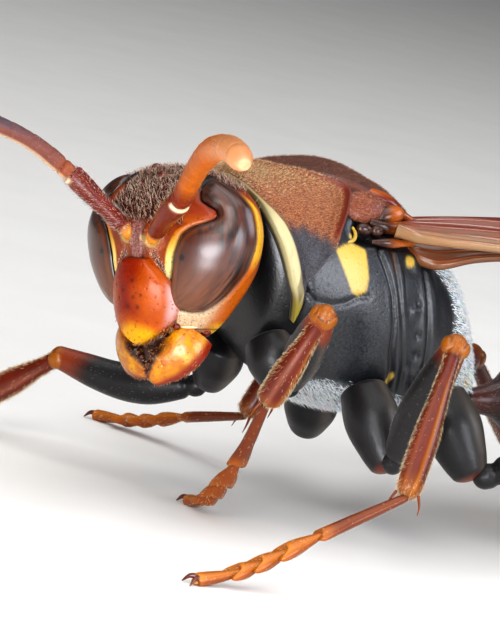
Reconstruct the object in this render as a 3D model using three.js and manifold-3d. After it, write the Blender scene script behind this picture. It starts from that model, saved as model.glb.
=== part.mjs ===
// A paper wasp at life size, standing on six feet with its wings folded along its sides.
// Units are millimetres. +Z is up, the wasp faces -Y and its left side is +X.
// The origin is under the middle of the model's box, on the floor.

import * as THREE from 'three';
import { mergeVertices } from 'three/addons/utils/BufferGeometryUtils.js';
import Module from 'manifold-3d';

const wasm = await Module();
wasm.setup();

// Driving dimensions

const GAP = 0.12;
const BASE_SHIFT = [-0.5579, -1.835, 0];

// Frames of the middle body and the head: centre in the model's frame, turns in degrees
const BODY = { centre: [0, 0, 4.89], noseUp: 5.2, lean: 17 };
const HEAD = { centre: [0.53, -4.36, 5.78], pitch: 0.7, lean: 10.9, yaw: 23.4 };

// The middle body, in its own frame: x to the left, y to the back, z up
const THORAX = {
  front: -3.95,
  rear: 3.8,
  top: [[-3.95, 2.2], [-3.6, 2.45], [-3, 2.7], [-2, 3.08], [-1, 3.26], [0, 3.06], [1, 2.56], [1.7, 2.14],
    [2.3, 1.6], [2.9, 0.62], [3.4, -0.5], [3.8, -1.3]],
  bottom: [[-3.95, 2], [-3.6, 1.25], [-3.2, 0.4], [-2.9, -0.4], [-2.4, -1.4], [-1.5, -1.95], [0, -2.25],
    [1.5, -2.15], [3, -1.85], [3.8, -1.75]],
  half: [[-3.95, 0.9], [-3.6, 1.65], [-3, 1.98], [-2, 2.2], [-0.6, 2.36], [0.6, 2.28], [1.6, 2],
    [2.6, 1.55], [3.4, 0.9], [3.8, 0.36]],
  sides: 26,
  rings: 20,
};
const SCUTUM = { centre: [0, 0.35, 3.3], half: [1.75, 2.95, 1.5] };
const COLLAR_BACK = { y: -1.32, z: 0.96, lean: -28 };
const COLLAR_FRONT = { y: -2.82, z: 1.1, lean: 35 };
const PROPLEURON_INSET = 0.28;
const PROPODEUM_FRONT = { y: 1.6, z: 0, lean: -6 };
const SCUTELLUM = { centre: [0, 0.72, 2.42], half: [0.95, 0.5, 0.42] };
const CARINA = {
  path: [[1.5, -3.7, 2], [1.85, -3.27, 1.65], [2.02, -2.82, 1.2], [2.05, -2.46, 0.7], [1.97, -2.1, 0.1],
    [1.72, -1.9, -0.6]],
  radius: [[0, 0.1], [0.5, 0.2], [0.8, 0.17], [1, 0.06]],
};
const TEGULA = { centre: [2.04, -0.8, 1.96], half: [0.2, 0.5, 0.32] };
const NECK = { from: [0.35, -3.75, 0.35], to: [0, -2.5, 0.2], radius: 0.6 };

// The head, in its own frame: x to its left, y to its back, z up
const SKULL = {
  foot: -1.92,
  crown: 1.9,
  half: [[-1.92, 0.4], [-1.8, 0.92], [-1.5, 1.3], [-1.1, 1.62], [-0.7, 1.9], [-0.2, 2.13], [0.4, 2.22],
    [1, 2.08], [1.4, 1.75], [1.7, 1.2], [1.85, 0.6], [1.9, 0.1]],
  front: [[-1.92, 0.5], [-1.8, 0.92], [-1.4, 1.16], [-0.7, 1.3], [-0.2, 1.36], [0.4, 1.4], [0.9, 1.32],
    [1.3, 1.1], [1.6, 0.8], [1.8, 0.45], [1.9, 0.1]],
  back: [[-1.92, 0.1], [-1.8, 0.3], [-1.4, 0.55], [-0.7, 0.85], [0, 1.05], [0.8, 1.05], [1.4, 0.75],
    [1.7, 0.45], [1.9, 0.1]],
  sides: 28,
  rings: 16,
};
const EYE = {
  foot: -1.25,
  crown: 1.62,
  inner: [[-1.25, 48], [-1.18, 38], [-1.05, 31], [-0.72, 25], [-0.2, 25], [0.36, 29], [0.6, 36], [0.7, 43],
    [0.83, 50.5], [0.92, 51.5], [1.0, 50], [1.1, 44], [1.22, 41.5], [1.4, 43], [1.54, 50], [1.62, 60]],
  outer: [[-1.25, 50], [-1.2, 56], [-1.05, 64], [-0.75, 74], [-0.2, 84], [0.4, 88], [0.9, 88], [1.2, 84],
    [1.4, 78], [1.54, 70], [1.62, 62]],
  rise: 0.17,
  depth: 0.42,
  proud: 0.02,
  degreesPerMm: 30,
  across: 7,
  rings: 16,
};
const CLYPEUS = {
  top: -0.15,
  foot: -2.06,
  half: [[-2.06, 0.06], [-1.9, 0.34], [-1.7, 0.62], [-1.5, 0.82], [-1.1, 0.92], [-0.7, 0.86], [-0.45, 0.66],
    [-0.25, 0.46], [-0.15, 0.34]],
  front: [[-2.06, 1.17], [-1.6, 1.36], [-1.2, 1.47], [-0.7, 1.53], [-0.15, 1.47]],
  hollow: 0.56,
  thick: 0.36,
  rim: 0.07,
  inset: 0.12,
  across: 6,
  rings: 11,
};
const MANDIBLES = {
  left: [[0.9, -0.3, -1.42], [0.84, -0.64, -2.0], [0.5, -0.9, -2.42], [0.24, -1.02, -2.86]],
  right: [[-0.9, -0.3, -1.42], [-0.84, -0.62, -2.0], [-0.42, -0.8, -2.4], [-0.02, -0.76, -2.72]],
  wide: [[0, 0.42], [0.4, 0.5], [0.72, 0.4], [1, 0.13]],
  flat: 0.5,
};
const FRONTAL_PLATE = { centre: [0, -1.4, 0.24], half: [0.17, 0.16, 0.42] };
const OCELLI = [{ z: 1.68, degrees: 0 }, { z: 1.82, degrees: 52 }, { z: 1.82, degrees: -52 }];
const OCELLUS_RADIUS = 0.13;

// Feelers, on paths in the model's frame
const FEELERS = {
  left: {
    scape: [[1.34, -5.45, 6.16], [2.01, -5.62, 6.7], [2.69, -5.66, 7.23]],
    lash: [[2.76, -5.68, 7.28], [3.92, -6.11, 7.94], [5.26, -6.61, 8.53], [6.65, -7.07, 8.98],
      [8.04, -7.41, 9.19], [9.28, -7.69, 9.09]],
  },
  right: {
    scape: [[0.72, -5.76, 6.1], [0.4, -6.48, 6.62], [0.08, -7.14, 7.12]],
    lash: [[0.06, -7.22, 7.18], [0.04, -8.1, 7.62], [0.02, -8.98, 7.9], [-0.24, -10.7, 8.18],
      [-0.58, -12.27, 8], [-0.9, -13.53, 7.44]],
  },
};
const SCAPE_RADIUS = [[0, 0.13], [0.12, 0.2], [0.3, 0.2], [0.85, 0.26], [1, 0.2]];
const LASH_RADIUS = [[0, 0.2], [0.05, 0.23], [0.2, 0.23], [0.6, 0.27], [0.92, 0.26], [1, 0.1]];
const LASH_RINGS = 11;
const LASH_FLARE = { base: 0.94, growth: 0.08 };

// Legs: joints in the model's frame, from the hip on the body to the claws
const LEGS = {
  fore_left: {
    root: [1.2, -2.2, 4.3], hip: [2.05, -1.85, 3.2], knee: [4.03, -2.38, 5.39], ankle: [3.1, -2.83, 3.1],
    toes: [[2.2, -2.72, 1.6], [1.4, -2.66, 0.74], [0.8, -2.64, 0.28], [0.12, -2.64, 0.1]],
  },
  fore_right: {
    root: [-0.45, -2.3, 3.8], hip: [-1.25, -2.1, 2.5], knee: [-4.0, -4.6, 2.2], ankle: [-5.3, -5.7, 0.8],
    sag: 0.4,
    toes: [[-5.9, -6.95, 0.4], [-6.25, -7.8, 0.24], [-6.45, -8.3, 0.2], [-6.6, -8.95, 0.1]],
  },
  mid_left: {
    root: [1.6, 0.25, 3.5], hip: [3.0, 0.6, 1.9], knee: [5.13, 0.35, 5.31], ankle: [7.13, -1.23, 2.3],
    toes: [[7.25, -3.33, 1.2], [7.2, -4.3, 0.6], [7.18, -4.95, 0.3], [7.19, -5.75, 0.1]],
  },
  mid_right: {
    root: [-0.3, 0.15, 3.0], hip: [-1.1, 0.55, 1.75], knee: [-3.5, 1.5, 4.3], ankle: [-3.58, 0.25, 1.4],
    toes: [[-5.5, -0.35, 0.8], [-6.5, -0.8, 0.4], [-7.1, -1.15, 0.24], [-7.87, -1.5, 0.1]],
  },
  hind_left: {
    root: [1.7, 2.15, 3.6], hip: [2.75, 2.95, 1.85], knee: [5.0, 6.4, 3.9], ankle: [6.9, 9.4, 0.95],
    toes: [[7.5, 11.6, 0.5], [7.7, 12.7, 0.26], [7.75, 13.3, 0.2], [7.75, 14.1, 0.1]],
  },
  hind_right: {
    root: [-0.5, 2.15, 3.0], hip: [-1.1, 2.95, 1.6], knee: [-3.9, 6.2, 3.5], ankle: [-5.9, 9.2, 0.9],
    toes: [[-6.6, 11.4, 0.45], [-6.9, 12.5, 0.26], [-7.0, 13.1, 0.2], [-7.1, 13.9, 0.1]],
  },
};
const LEG_RADII = {
  fore: { coxa: 0.62, femur: 0.45, tibia: 0.33, tarsus: 0.22 },
  mid: { coxa: 0.66, femur: 0.47, tibia: 0.32, tarsus: 0.23 },
  hind: { coxa: 0.72, femur: 0.5, tibia: 0.34, tarsus: 0.24 },
};
// Leg radii along each length, as shares of the leg's size
const COXA_SHAPE = [[0, 0.8], [0.4, 1], [0.75, 0.72], [1, 0.45]];
const FEMUR_SHAPE = [[0, 0.5], [0.1, 0.62], [0.4, 1], [0.7, 0.86], [0.95, 0.66], [1, 0.4]];
const TIBIA_SHAPE = [[0, 0.45], [0.08, 0.62], [0.3, 0.68], [0.7, 0.86], [0.92, 1], [1, 0.6]];
const FEMUR_ARCH = 0.12;
// Foot joints: where each ends along the foot, and its radii at both ends
const FOOT_JOINTS = [
  { from: 0, to: 0.42, low: 0.62, high: 0.94 },
  { from: 0.42, to: 0.58, low: 0.66, high: 1.1 },
  { from: 0.58, to: 0.7, low: 0.66, high: 1.1 },
  { from: 0.7, to: 0.8, low: 0.66, high: 1.1 },
  { from: 0.8, to: 1, low: 0.55, high: 0.95 },
];
const FOOT_END = 0.5;
const FOOT_FLATNESS = 0.9;
const FOOT_ROWS = [0, 0.2, 0.4, 0.43, 0.56, 0.585, 0.68, 0.705, 0.78, 0.81, 0.9, 0.98, 1];
const CLAW = { length: 0.42, spread: 28, radius: 0.1, arch: 0.14, tip: 0.02, start: 0.97 };
const CLAW_SHAPE = [[0, 1], [0.6, 0.8], [1, 0.5]];

// The gaster, in the model's frame: a spindle on a gently bent axis, parted into its rings
const GASTER = {
  axisX: [[3.3, 0.44], [6, 0.3], [9, 0.2], [14.6, 0.05]],
  axisZ: [[3.3, 3.15], [6, 3.45], [8.5, 3.45], [12, 3.05], [14.6, 2.6]],
  radius: [[3.3, 0.28], [3.9, 0.3], [4.4, 0.42], [5, 0.85], [5.8, 1.5], [6.8, 2.05], [8, 2.34], [9.4, 2.3],
    [10.8, 1.98], [12.2, 1.44], [13.4, 0.8], [14.2, 0.34], [14.6, 0.06]],
  cuts: [3.3, 6.5, 8.9, 10.7, 12.2, 13.3, 14.6],
  step: 0.07,
  lip: 0.04,
  nest: 0.4,
  sides: 16,
};

// Wings: a folded blade on each side, with a narrower blade under it
const WINGS = {
  left: {
    fore: [[1.9, 0.1, 7.14], [2.4, 2.5, 7.4], [2.9, 6, 7.42], [3.35, 10, 7.12], [3.6, 14, 6.6],
      [3.7, 17.2, 6.05]],
    hind: [[1.2, 0.7, 6.72], [1.65, 2.6, 7.02], [2.1, 5.5, 7.02], [2.5, 8.5, 6.86], [2.75, 11, 6.62]],
    outward: [0.5, 0, 0.86],
  },
  right: {
    fore: [[-2.74, 0, 5.8], [-2.9, 2.5, 6.3], [-3.1, 6, 6.6], [-3.3, 10, 6.5], [-3.45, 14, 6.1],
      [-3.5, 17.2, 5.65]],
    hind: [[-1.95, 0.6, 5.7], [-2.08, 2.6, 6.26], [-2.28, 5.5, 6.6], [-2.5, 8.5, 6.56], [-2.65, 11, 6.34]],
    outward: [-0.75, 0, 0.66],
  },
};
const FORE_CHORD = [[0, 0.3], [0.06, 0.44], [0.3, 0.64], [0.6, 1.0], [0.8, 1.08], [0.93, 0.78], [1, 0.28]];
const HIND_CHORD = [[0, 0.4], [0.07, 0.8], [0.16, 0.55], [0.26, 0.36], [0.5, 0.5], [0.8, 0.6], [0.92, 0.44],
  [1, 0.2]];
const WING_THICK = 0.25;
const WING_THINNING = 0.45;
const VEIN_RISE = 0.09;
const WING_ACROSS = [-1, -0.86, -0.66, -0.45, -0.2, 0.05, 0.3, 0.55, 0.74, 0.92, 1];
const WING_VEINS = [-0.86, -0.45, 0.05, 0.55, 0.92];
const VEIN_SPAN = [0.04, 0.94];

// Colours from the photograph
const COLOURS = {
  red: 0xa8431c,
  orange: 0xc96a1c,
  yellow: 0xe0b83c,
  black: 0x1b1a1d,
  grey: 0x34343a,
  brown: 0x5b2c1a,
  eye: 0x7c3319,
  wing: 0x8a4a22,
};

function finish(colour, roughness) {
  return new THREE.MeshStandardMaterial({ color: colour, roughness, metalness: 0 });
}

// Arithmetic helpers

const vec = (p) => new THREE.Vector3(...p);
const mirror = (p) => [-p[0], p[1], p[2]];
const rad = THREE.MathUtils.degToRad;
const { lerp, clamp } = THREE.MathUtils;
const UP = new THREE.Vector3(0, 0, 1);
const MERGE = 1e-5;
const BLOCK = 60;

// Where a row lies between a grid's ends, from 0 to 1, when its first and last rows are poles
const rowShare = (row, rings) => clamp((row - 1) / (rings - 2), 0, 1);
const eased = (share) => 0.5 - 0.5 * Math.cos(Math.PI * share);
const isPole = (t) => t === 0 || t === 1;

// A smooth curve through [place, value] pairs that never overshoots them
function along(keys, t) {
  const last = keys.length - 1;
  if (t <= keys[0][0]) return keys[0][1];
  if (t >= keys[last][0]) return keys[last][1];
  const k = keys.findIndex(([x]) => x > t) - 1;
  const slope = (i) => (keys[i + 1][1] - keys[i][1]) / (keys[i + 1][0] - keys[i][0]);
  const bend = (i) => {
    if (i === 0) return slope(0);
    if (i === last) return slope(last - 1);
    const a = slope(i - 1);
    const b = slope(i);
    return a * b <= 0 ? 0 : (2 * a * b) / (a + b);
  };
  const width = keys[k + 1][0] - keys[k][0];
  const s = (t - keys[k][0]) / width;
  const h = s * s * (3 - 2 * s);
  return keys[k][1] * (1 - h) + keys[k + 1][1] * h
    + width * s * (1 - s) * (bend(k) * (1 - s) - bend(k + 1) * s);
}

// Turns a closed geometry into a solid, with its faces pointing outwards
function solid(geometry, matrix) {
  const bare = geometry.clone();
  bare.deleteAttribute('normal');
  bare.deleteAttribute('uv');
  if (matrix) bare.applyMatrix4(matrix);
  const merged = mergeVertices(bare, MERGE);
  const places = Float32Array.from(merged.attributes.position.array);
  const corners = [];
  for (let i = 0; i < merged.index.count; i += 3) {
    const [a, b, c] = [0, 1, 2].map((j) => merged.index.getX(i + j));
    if (a !== b && b !== c && a !== c) corners.push([a, b, c]);
  }
  let volume = 0;
  const at = (i) => new THREE.Vector3(places[3 * i], places[3 * i + 1], places[3 * i + 2]);
  corners.forEach(([a, b, c]) => {
    volume += at(a).dot(at(b).cross(at(c)));
  });
  const triVerts = Uint32Array.from(corners.flatMap(([a, b, c]) => (volume > 0 ? [a, b, c] : [a, c, b])));
  return new wasm.Manifold(new wasm.Mesh({ numProp: 3, vertProperties: places, triVerts }));
}

// The largest closed piece of a solid
function largest(shape) {
  const pieces = shape.decompose();
  return pieces.reduce((best, piece) => (piece.volume() > best.volume() ? piece : best));
}

function geometryOf(shape) {
  const mesh = shape.getMesh();
  const geometry = new THREE.BufferGeometry();
  geometry.setAttribute('position', new THREE.BufferAttribute(Float32Array.from(mesh.vertProperties), 3));
  geometry.setIndex(new THREE.BufferAttribute(Uint32Array.from(mesh.triVerts), 1));
  geometry.computeVertexNormals();
  return geometry;
}

// A closed skin over a sphere's grid: place(t, turn) gives each point, t from one pole to the other
function skin(sides, rings, place) {
  const geometry = new THREE.SphereGeometry(1, sides, rings);
  const position = geometry.attributes.position;
  for (let row = 0; row <= rings; row += 1) {
    for (let column = 0; column <= sides; column += 1) {
      const point = place(row / rings, (column % sides) / sides);
      position.setXYZ(row * (sides + 1) + column, point.x, point.y, point.z);
    }
  }
  return geometry;
}

function ellipsoid(centre, half, sides = 16, rings = 10) {
  const geometry = new THREE.SphereGeometry(1, sides, rings);
  geometry.scale(...half);
  geometry.translate(...centre);
  return geometry;
}

// The middle of a curve's cross-section and its three directions
function crossing(curve, s, reference) {
  const ahead = curve.getTangentAt(s);
  const across = new THREE.Vector3().crossVectors(ahead, reference).normalize();
  const up = new THREE.Vector3().crossVectors(across, ahead);
  return { centre: curve.getPointAt(s), ahead, across, up };
}

// A round limb along a smooth path; radius and flatness follow keys, flat ends are closed
function limb(path, radius, { sides = 10, rings = 8, flat = 1, side = [0, 0, 1], grow = 0 } = {}) {
  const curve = new THREE.CatmullRomCurve3(path.map(vec));
  return skin(sides, rings + 2, (t, turn) => {
    const s = eased(rowShare(Math.round(t * (rings + 2)), rings + 2));
    const { centre, across, up, ahead } = crossing(curve, s, vec(side));
    centre.addScaledVector(ahead, (2 * s - 1) * grow);
    if (isPole(t)) return centre;
    const reach = along(radius, s) + grow;
    const wide = reach * Math.cos(2 * Math.PI * turn);
    const high = (reach * flat + grow * (1 - flat)) * Math.sin(2 * Math.PI * turn);
    return centre.addScaledVector(across, wide).addScaledVector(up, high);
  });
}

// A large block whose one face lies at a point, square to a direction
function block(point, direction) {
  const outwards = vec(direction).normalize();
  const turn = new THREE.Quaternion().setFromUnitVectors(UP, outwards);
  const middle = vec(point).addScaledVector(outwards, BLOCK / 2);
  return new THREE.BoxGeometry(BLOCK, BLOCK, BLOCK)
    .applyMatrix4(new THREE.Matrix4().compose(middle, turn, new THREE.Vector3(1, 1, 1)));
}

// Frames

const body = new THREE.Group();
body.position.set(...BODY.centre);
body.rotation.set(rad(-BODY.noseUp), rad(-BODY.lean), 0);
body.updateMatrix();

const head = new THREE.Group();
head.position.set(...HEAD.centre);
head.rotation.set(rad(HEAD.pitch), rad(-HEAD.lean), rad(HEAD.yaw), 'ZXY');
head.updateMatrix();

const model = new THREE.Group();
model.position.set(...BASE_SHIFT);
model.add(body, head);

function add(group, name, shape, material) {
  const mesh = new THREE.Mesh(geometryOf(largest(shape)), material);
  mesh.name = name;
  group.add(mesh);
}

// The middle body

function thorax(grow) {
  return skin(THORAX.sides, THORAX.rings, (t, turn) => {
    const s = eased(rowShare(t * THORAX.rings, THORAX.rings));
    const y = lerp(THORAX.front, THORAX.rear, s);
    const top = along(THORAX.top, y);
    const bottom = along(THORAX.bottom, y);
    const middle = (top + bottom) / 2;
    const outward = (2 * s - 1) * grow;
    if (isPole(t)) return new THREE.Vector3(0, y + outward, middle);
    const angle = 2 * Math.PI * turn;
    const x = (along(THORAX.half, y) + grow) * Math.cos(angle);
    return new THREE.Vector3(x, y + outward, middle + ((top - bottom) / 2 + grow) * Math.sin(angle));
  });
}

const thoraxWhole = solid(thorax(0));
const thoraxGrownPlaced = solid(thorax(GAP), body.matrix);

const leaning = ({ lean }) => [0, -Math.cos(rad(lean)), -Math.sin(rad(lean))];
const opposite = (direction) => direction.map((value) => -value);
const shifted = (point, direction, distance) => point.map((value, i) => value + direction[i] * distance);

function sides({ y, z, lean }) {
  const ahead = leaning({ lean });
  const behind = opposite(ahead);
  return {
    ahead: solid(block(shifted([0, y, z], ahead, GAP / 2), ahead)),
    behind: solid(block(shifted([0, y, z], behind, GAP / 2), behind)),
  };
}

const collarCut = sides(COLLAR_BACK);
const rearCut = sides(PROPODEUM_FRONT);
const frontCut = sides(COLLAR_FRONT);

// The head

function skullPoint(z, degrees, grow) {
  const angle = rad(degrees);
  const level = clamp(z, SKULL.foot, SKULL.crown);
  const depth = Math.cos(angle) > 0 ? along(SKULL.front, level) : along(SKULL.back, level);
  const x = (along(SKULL.half, level) + grow) * Math.sin(angle);
  return new THREE.Vector3(x, -(depth + grow) * Math.cos(angle), z);
}

function skull(grow) {
  return skin(SKULL.sides, SKULL.rings, (t, turn) => {
    const s = eased(rowShare(t * SKULL.rings, SKULL.rings));
    const z = lerp(SKULL.foot - grow, SKULL.crown + grow, s);
    if (isPole(t)) return new THREE.Vector3(0, 0, z);
    return skullPoint(z, 360 * turn, grow);
  });
}

// An eye's lens: its outer face rises from the skull between two margins, its inner face lies sunk
function eye(grow) {
  const half = EYE.across;
  return skin(2 * half, EYE.rings, (t, turn) => {
    const row = rowShare(t * EYE.rings, EYE.rings);
    const s = eased(row);
    const z = lerp(EYE.foot, EYE.crown, s);
    const level = lerp(EYE.foot - grow, EYE.crown + grow, s);
    const spread = grow * EYE.degreesPerMm;
    const inner = along(EYE.inner, z) - spread;
    const outer = along(EYE.outer, z) + spread;
    const step = turn * 2 * half;
    const face = step <= half;
    const across = face ? step / half : 2 - step / half;
    const degrees = lerp(inner, outer, isPole(t) ? 0.5 : across);
    const dome = Math.sqrt(Math.max(0, 1 - (2 * across - 1) ** 2)) * Math.sin(Math.PI * row) ** 0.5;
    const room = grow + EYE.proud;
    if (isPole(t)) return skullPoint(level, degrees, 0);
    return skullPoint(level, degrees, face ? EYE.rise * dome + room : -EYE.depth * dome - room);
  });
}

// The face shield: bulged across, pointed below, its back face parallel to its front
function clypeus(grow) {
  const half = CLYPEUS.across;
  return skin(2 * half, CLYPEUS.rings, (t, turn) => {
    const row = rowShare(t * CLYPEUS.rings, CLYPEUS.rings);
    const z = lerp(CLYPEUS.foot, CLYPEUS.top, row);
    const level = lerp(CLYPEUS.foot - grow, CLYPEUS.top + grow, row);
    const step = turn * 2 * half;
    const face = step <= half;
    const across = face ? 1 - (2 * step) / half : (2 * (step - half)) / half - 1;
    const x = isPole(t) ? 0 : (along(CLYPEUS.half, z) + grow) * across;
    const middle = CLYPEUS.inset - along(CLYPEUS.front, z) + CLYPEUS.hollow * x * x;
    if (isPole(t)) return new THREE.Vector3(x, middle, level);
    const sink = CLYPEUS.thick / 2 + grow + CLYPEUS.rim * (1 - across ** 6);
    return new THREE.Vector3(x, middle + (face ? -sink : sink), level);
  });
}

function mandible(sideName, grow) {
  const side = [sideName === 'left' ? 1 : -1, -0.75, 0.2];
  const shape = { sides: 10, rings: 8, flat: MANDIBLES.flat, side, grow };
  return limb(MANDIBLES[sideName], MANDIBLES.wide, shape);
}

const skullGrownPlaced = solid(skull(GAP), head.matrix);
const eyes = { left: eye(0), right: eye(0).scale(-1, 1, 1) };
const eyeRoom = { left: eye(GAP), right: eye(GAP).scale(-1, 1, 1) };

let headSolid = solid(skull(0));
headSolid = headSolid.add(solid(ellipsoid(FRONTAL_PLATE.centre, FRONTAL_PLATE.half, 12, 8)));
OCELLI.forEach(({ z, degrees }) => {
  const centre = skullPoint(z, degrees, -OCELLUS_RADIUS / 3).toArray();
  headSolid = headSolid.add(solid(ellipsoid(centre, Array(3).fill(OCELLUS_RADIUS), 8, 6)));
});
headSolid = headSolid.subtract(solid(eyeRoom.left)).subtract(solid(eyeRoom.right));
const shieldRoom = solid(clypeus(GAP));
headSolid = headSolid.subtract(shieldRoom);

const shield = solid(clypeus(0)).subtract(solid(eyeRoom.left)).subtract(solid(eyeRoom.right));
const jawRoom = {};
const jaws = {};
['left', 'right'].forEach((sideName) => {
  jawRoom[sideName] = solid(mandible(sideName, GAP));
  jaws[sideName] = solid(mandible(sideName, 0)).subtract(shieldRoom);
});
jaws.right = jaws.right.subtract(jawRoom.left);
headSolid = headSolid.subtract(jawRoom.left).subtract(jawRoom.right);

add(head, 'head', headSolid, finish(COLOURS.red, 0.5));
add(head, 'clypeus', shield, finish(COLOURS.orange, 0.35));
add(head, 'eye_left', solid(eyes.left), finish(COLOURS.eye, 0.2));
add(head, 'eye_right', solid(eyes.right), finish(COLOURS.eye, 0.2));
add(head, 'mandible_left', jaws.left, finish(COLOURS.yellow, 0.35));
add(head, 'mandible_right', jaws.right, finish(COLOURS.yellow, 0.35));

// Collar, mid thorax and propodeum, parted by thin cuts

const toBody = body.matrix.clone().invert();
const headToBody = toBody.clone().multiply(head.matrix);
const skullRoomInBody = solid(skull(GAP), headToBody);
const scutumPlug = solid(ellipsoid(SCUTUM.centre, SCUTUM.half, 20, 12));
const scutumRoom = solid(ellipsoid(SCUTUM.centre, SCUTUM.half.map((value) => value + GAP), 20, 12));

const carina = (hand) => limb(
  hand > 0 ? CARINA.path : CARINA.path.map(mirror),
  CARINA.radius,
  { sides: 8, rings: 10, side: [1, 0, 0] },
);

let collar = thoraxWhole.intersect(collarCut.ahead).intersect(frontCut.behind).subtract(scutumRoom);
[1, -1].forEach((hand) => {
  collar = collar.add(solid(carina(hand)).subtract(scutumRoom));
});
collar = collar.intersect(collarCut.ahead).subtract(skullRoomInBody);
const frontward = leaning(COLLAR_FRONT);
const collarFace = shifted([0, COLLAR_FRONT.y, COLLAR_FRONT.z], frontward, GAP / 2);
const neckStop = solid(block(collarFace, opposite(frontward)));
const neckRadius = [[0, NECK.radius], [1, NECK.radius]];
const neck = solid(limb([NECK.from, NECK.to], neckRadius, { sides: 12, rings: 3 }));
let propleura = solid(thorax(-PROPLEURON_INSET)).intersect(frontCut.ahead).intersect(collarCut.ahead);
propleura = propleura.add(neck).subtract(skullRoomInBody).subtract(neckStop);
['left', 'right'].forEach((sideName) => {
  propleura = propleura.subtract(solid(mandible(sideName, GAP), headToBody));
});

const scutellum = solid(ellipsoid(SCUTELLUM.centre, SCUTELLUM.half, 14, 8)).intersect(rearCut.ahead);
let midThorax = thoraxWhole.intersect(collarCut.behind.add(scutumPlug)).intersect(rearCut.ahead);
midThorax = midThorax.add(scutellum);
const propodeum = thoraxWhole.intersect(rearCut.behind);

const tegulae = {};
const tegulaRoom = {};
Object.entries({ left: 1, right: -1 }).forEach(([sideName, hand]) => {
  const centre = hand > 0 ? TEGULA.centre : mirror(TEGULA.centre);
  tegulae[sideName] = solid(ellipsoid(centre, TEGULA.half, 12, 8));
  tegulaRoom[sideName] = solid(ellipsoid(centre, TEGULA.half.map((value) => value + GAP), 12, 8));
  collar = collar.subtract(tegulaRoom[sideName]);
  midThorax = midThorax.subtract(tegulaRoom[sideName]);
});

add(body, 'pronotum', collar, finish(COLOURS.brown, 0.6));
add(body, 'mesothorax', midThorax, finish(COLOURS.black, 0.5));
add(body, 'propodeum', propodeum, finish(COLOURS.grey, 0.6));
add(body, 'propleura', propleura, finish(COLOURS.black, 0.3));
add(body, 'tegula_left', tegulae.left, finish(COLOURS.brown, 0.4));
add(body, 'tegula_right', tegulae.right, finish(COLOURS.brown, 0.4));

// Legs

const floor = solid(block([0, 0, 0], [0, 0, -1]));

const sized = (shape, size) => shape.map(([place, share]) => [place, share * size]);

function coxaShape(leg, size, grow) {
  const path = [leg.root, leg.hip];
  return limb(path, sized(COXA_SHAPE, size), { sides: 10, rings: 6, side: [0, 1, 0], grow });
}

function femurShape(leg, size, grow) {
  const middle = leg.hip.map((value, i) => (value + leg.knee[i]) / 2);
  middle[2] += FEMUR_ARCH - (leg.sag || 0);
  const path = [leg.hip, middle, leg.knee];
  return limb(path, sized(FEMUR_SHAPE, size), { sides: 10, rings: 7, side: [0, 1, 0.2], grow });
}

function tibiaShape(leg, size, grow) {
  const path = [leg.knee, leg.ankle];
  return limb(path, sized(TIBIA_SHAPE, size), { sides: 8, rings: 6, side: [0, 1, 0.2], grow });
}

// Five foot joints on one path, each flaring to its end, the last one slender
const footCurve = (leg) => new THREE.CatmullRomCurve3([leg.ankle, ...leg.toes].map(vec));

function tarsusShape(curve, size) {
  const keys = FOOT_JOINTS.flatMap(({ from, to, low, high }) => [[from + 0.004, low], [to - 0.02, high]]);
  const radius = sized([...keys, [1, FOOT_END]], size);
  const last = FOOT_ROWS.length + 1;
  return skin(8, last, (t, turn) => {
    const s = FOOT_ROWS[clamp(Math.round(t * last) - 1, 0, FOOT_ROWS.length - 1)];
    const { centre, across, up } = crossing(curve, s, UP);
    if (isPole(t)) return centre;
    const reach = along(radius, s);
    const angle = 2 * Math.PI * turn;
    centre.addScaledVector(across, reach * Math.cos(angle));
    return centre.addScaledVector(up, FOOT_FLATNESS * reach * Math.sin(angle));
  });
}

function clawPaths(curve) {
  const end = curve.getPointAt(CLAW.start);
  const ahead = curve.getTangentAt(1).setZ(0).normalize();
  return [1, -1].map((hand) => {
    const out = ahead.clone().applyAxisAngle(UP, rad(hand * CLAW.spread));
    const middle = end.clone().addScaledVector(out, CLAW.length * 0.6).setZ(CLAW.arch);
    const tip = end.clone().addScaledVector(out, CLAW.length).setZ(CLAW.tip);
    return [end.toArray(), middle.toArray(), tip.toArray()];
  });
}

Object.entries(LEGS).forEach(([name, leg]) => {
  const size = LEG_RADII[name.split('_')[0]];
  const coxa = solid(coxaShape(leg, size.coxa, 0)).subtract(thoraxGrownPlaced);
  const coxaRoom = solid(coxaShape(leg, size.coxa, GAP));
  const tibia = solid(tibiaShape(leg, size.tibia, 0));
  const tibiaRoom = solid(tibiaShape(leg, size.tibia, GAP));
  const femur = solid(femurShape(leg, size.femur, 0)).subtract(coxaRoom).subtract(tibiaRoom);
  const curve = footCurve(leg);
  let tarsus = solid(tarsusShape(curve, size.tarsus));
  clawPaths(curve).forEach((path) => {
    tarsus = tarsus.add(solid(limb(path, sized(CLAW_SHAPE, CLAW.radius), { sides: 5, rings: 3 })));
  });
  tarsus = tarsus.subtract(tibiaRoom).subtract(floor);
  add(model, `coxa_${name}`, coxa, finish(COLOURS.black, 0.45));
  add(model, `femur_${name}`, femur, finish(COLOURS.black, 0.45));
  add(model, `tibia_${name}`, tibia, finish(COLOURS.red, 0.45));
  add(model, `tarsus_${name}`, tarsus, finish(COLOURS.orange, 0.45));
});

// Gaster: rings of the spindle, each ending a little prouder than the next begins

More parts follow.
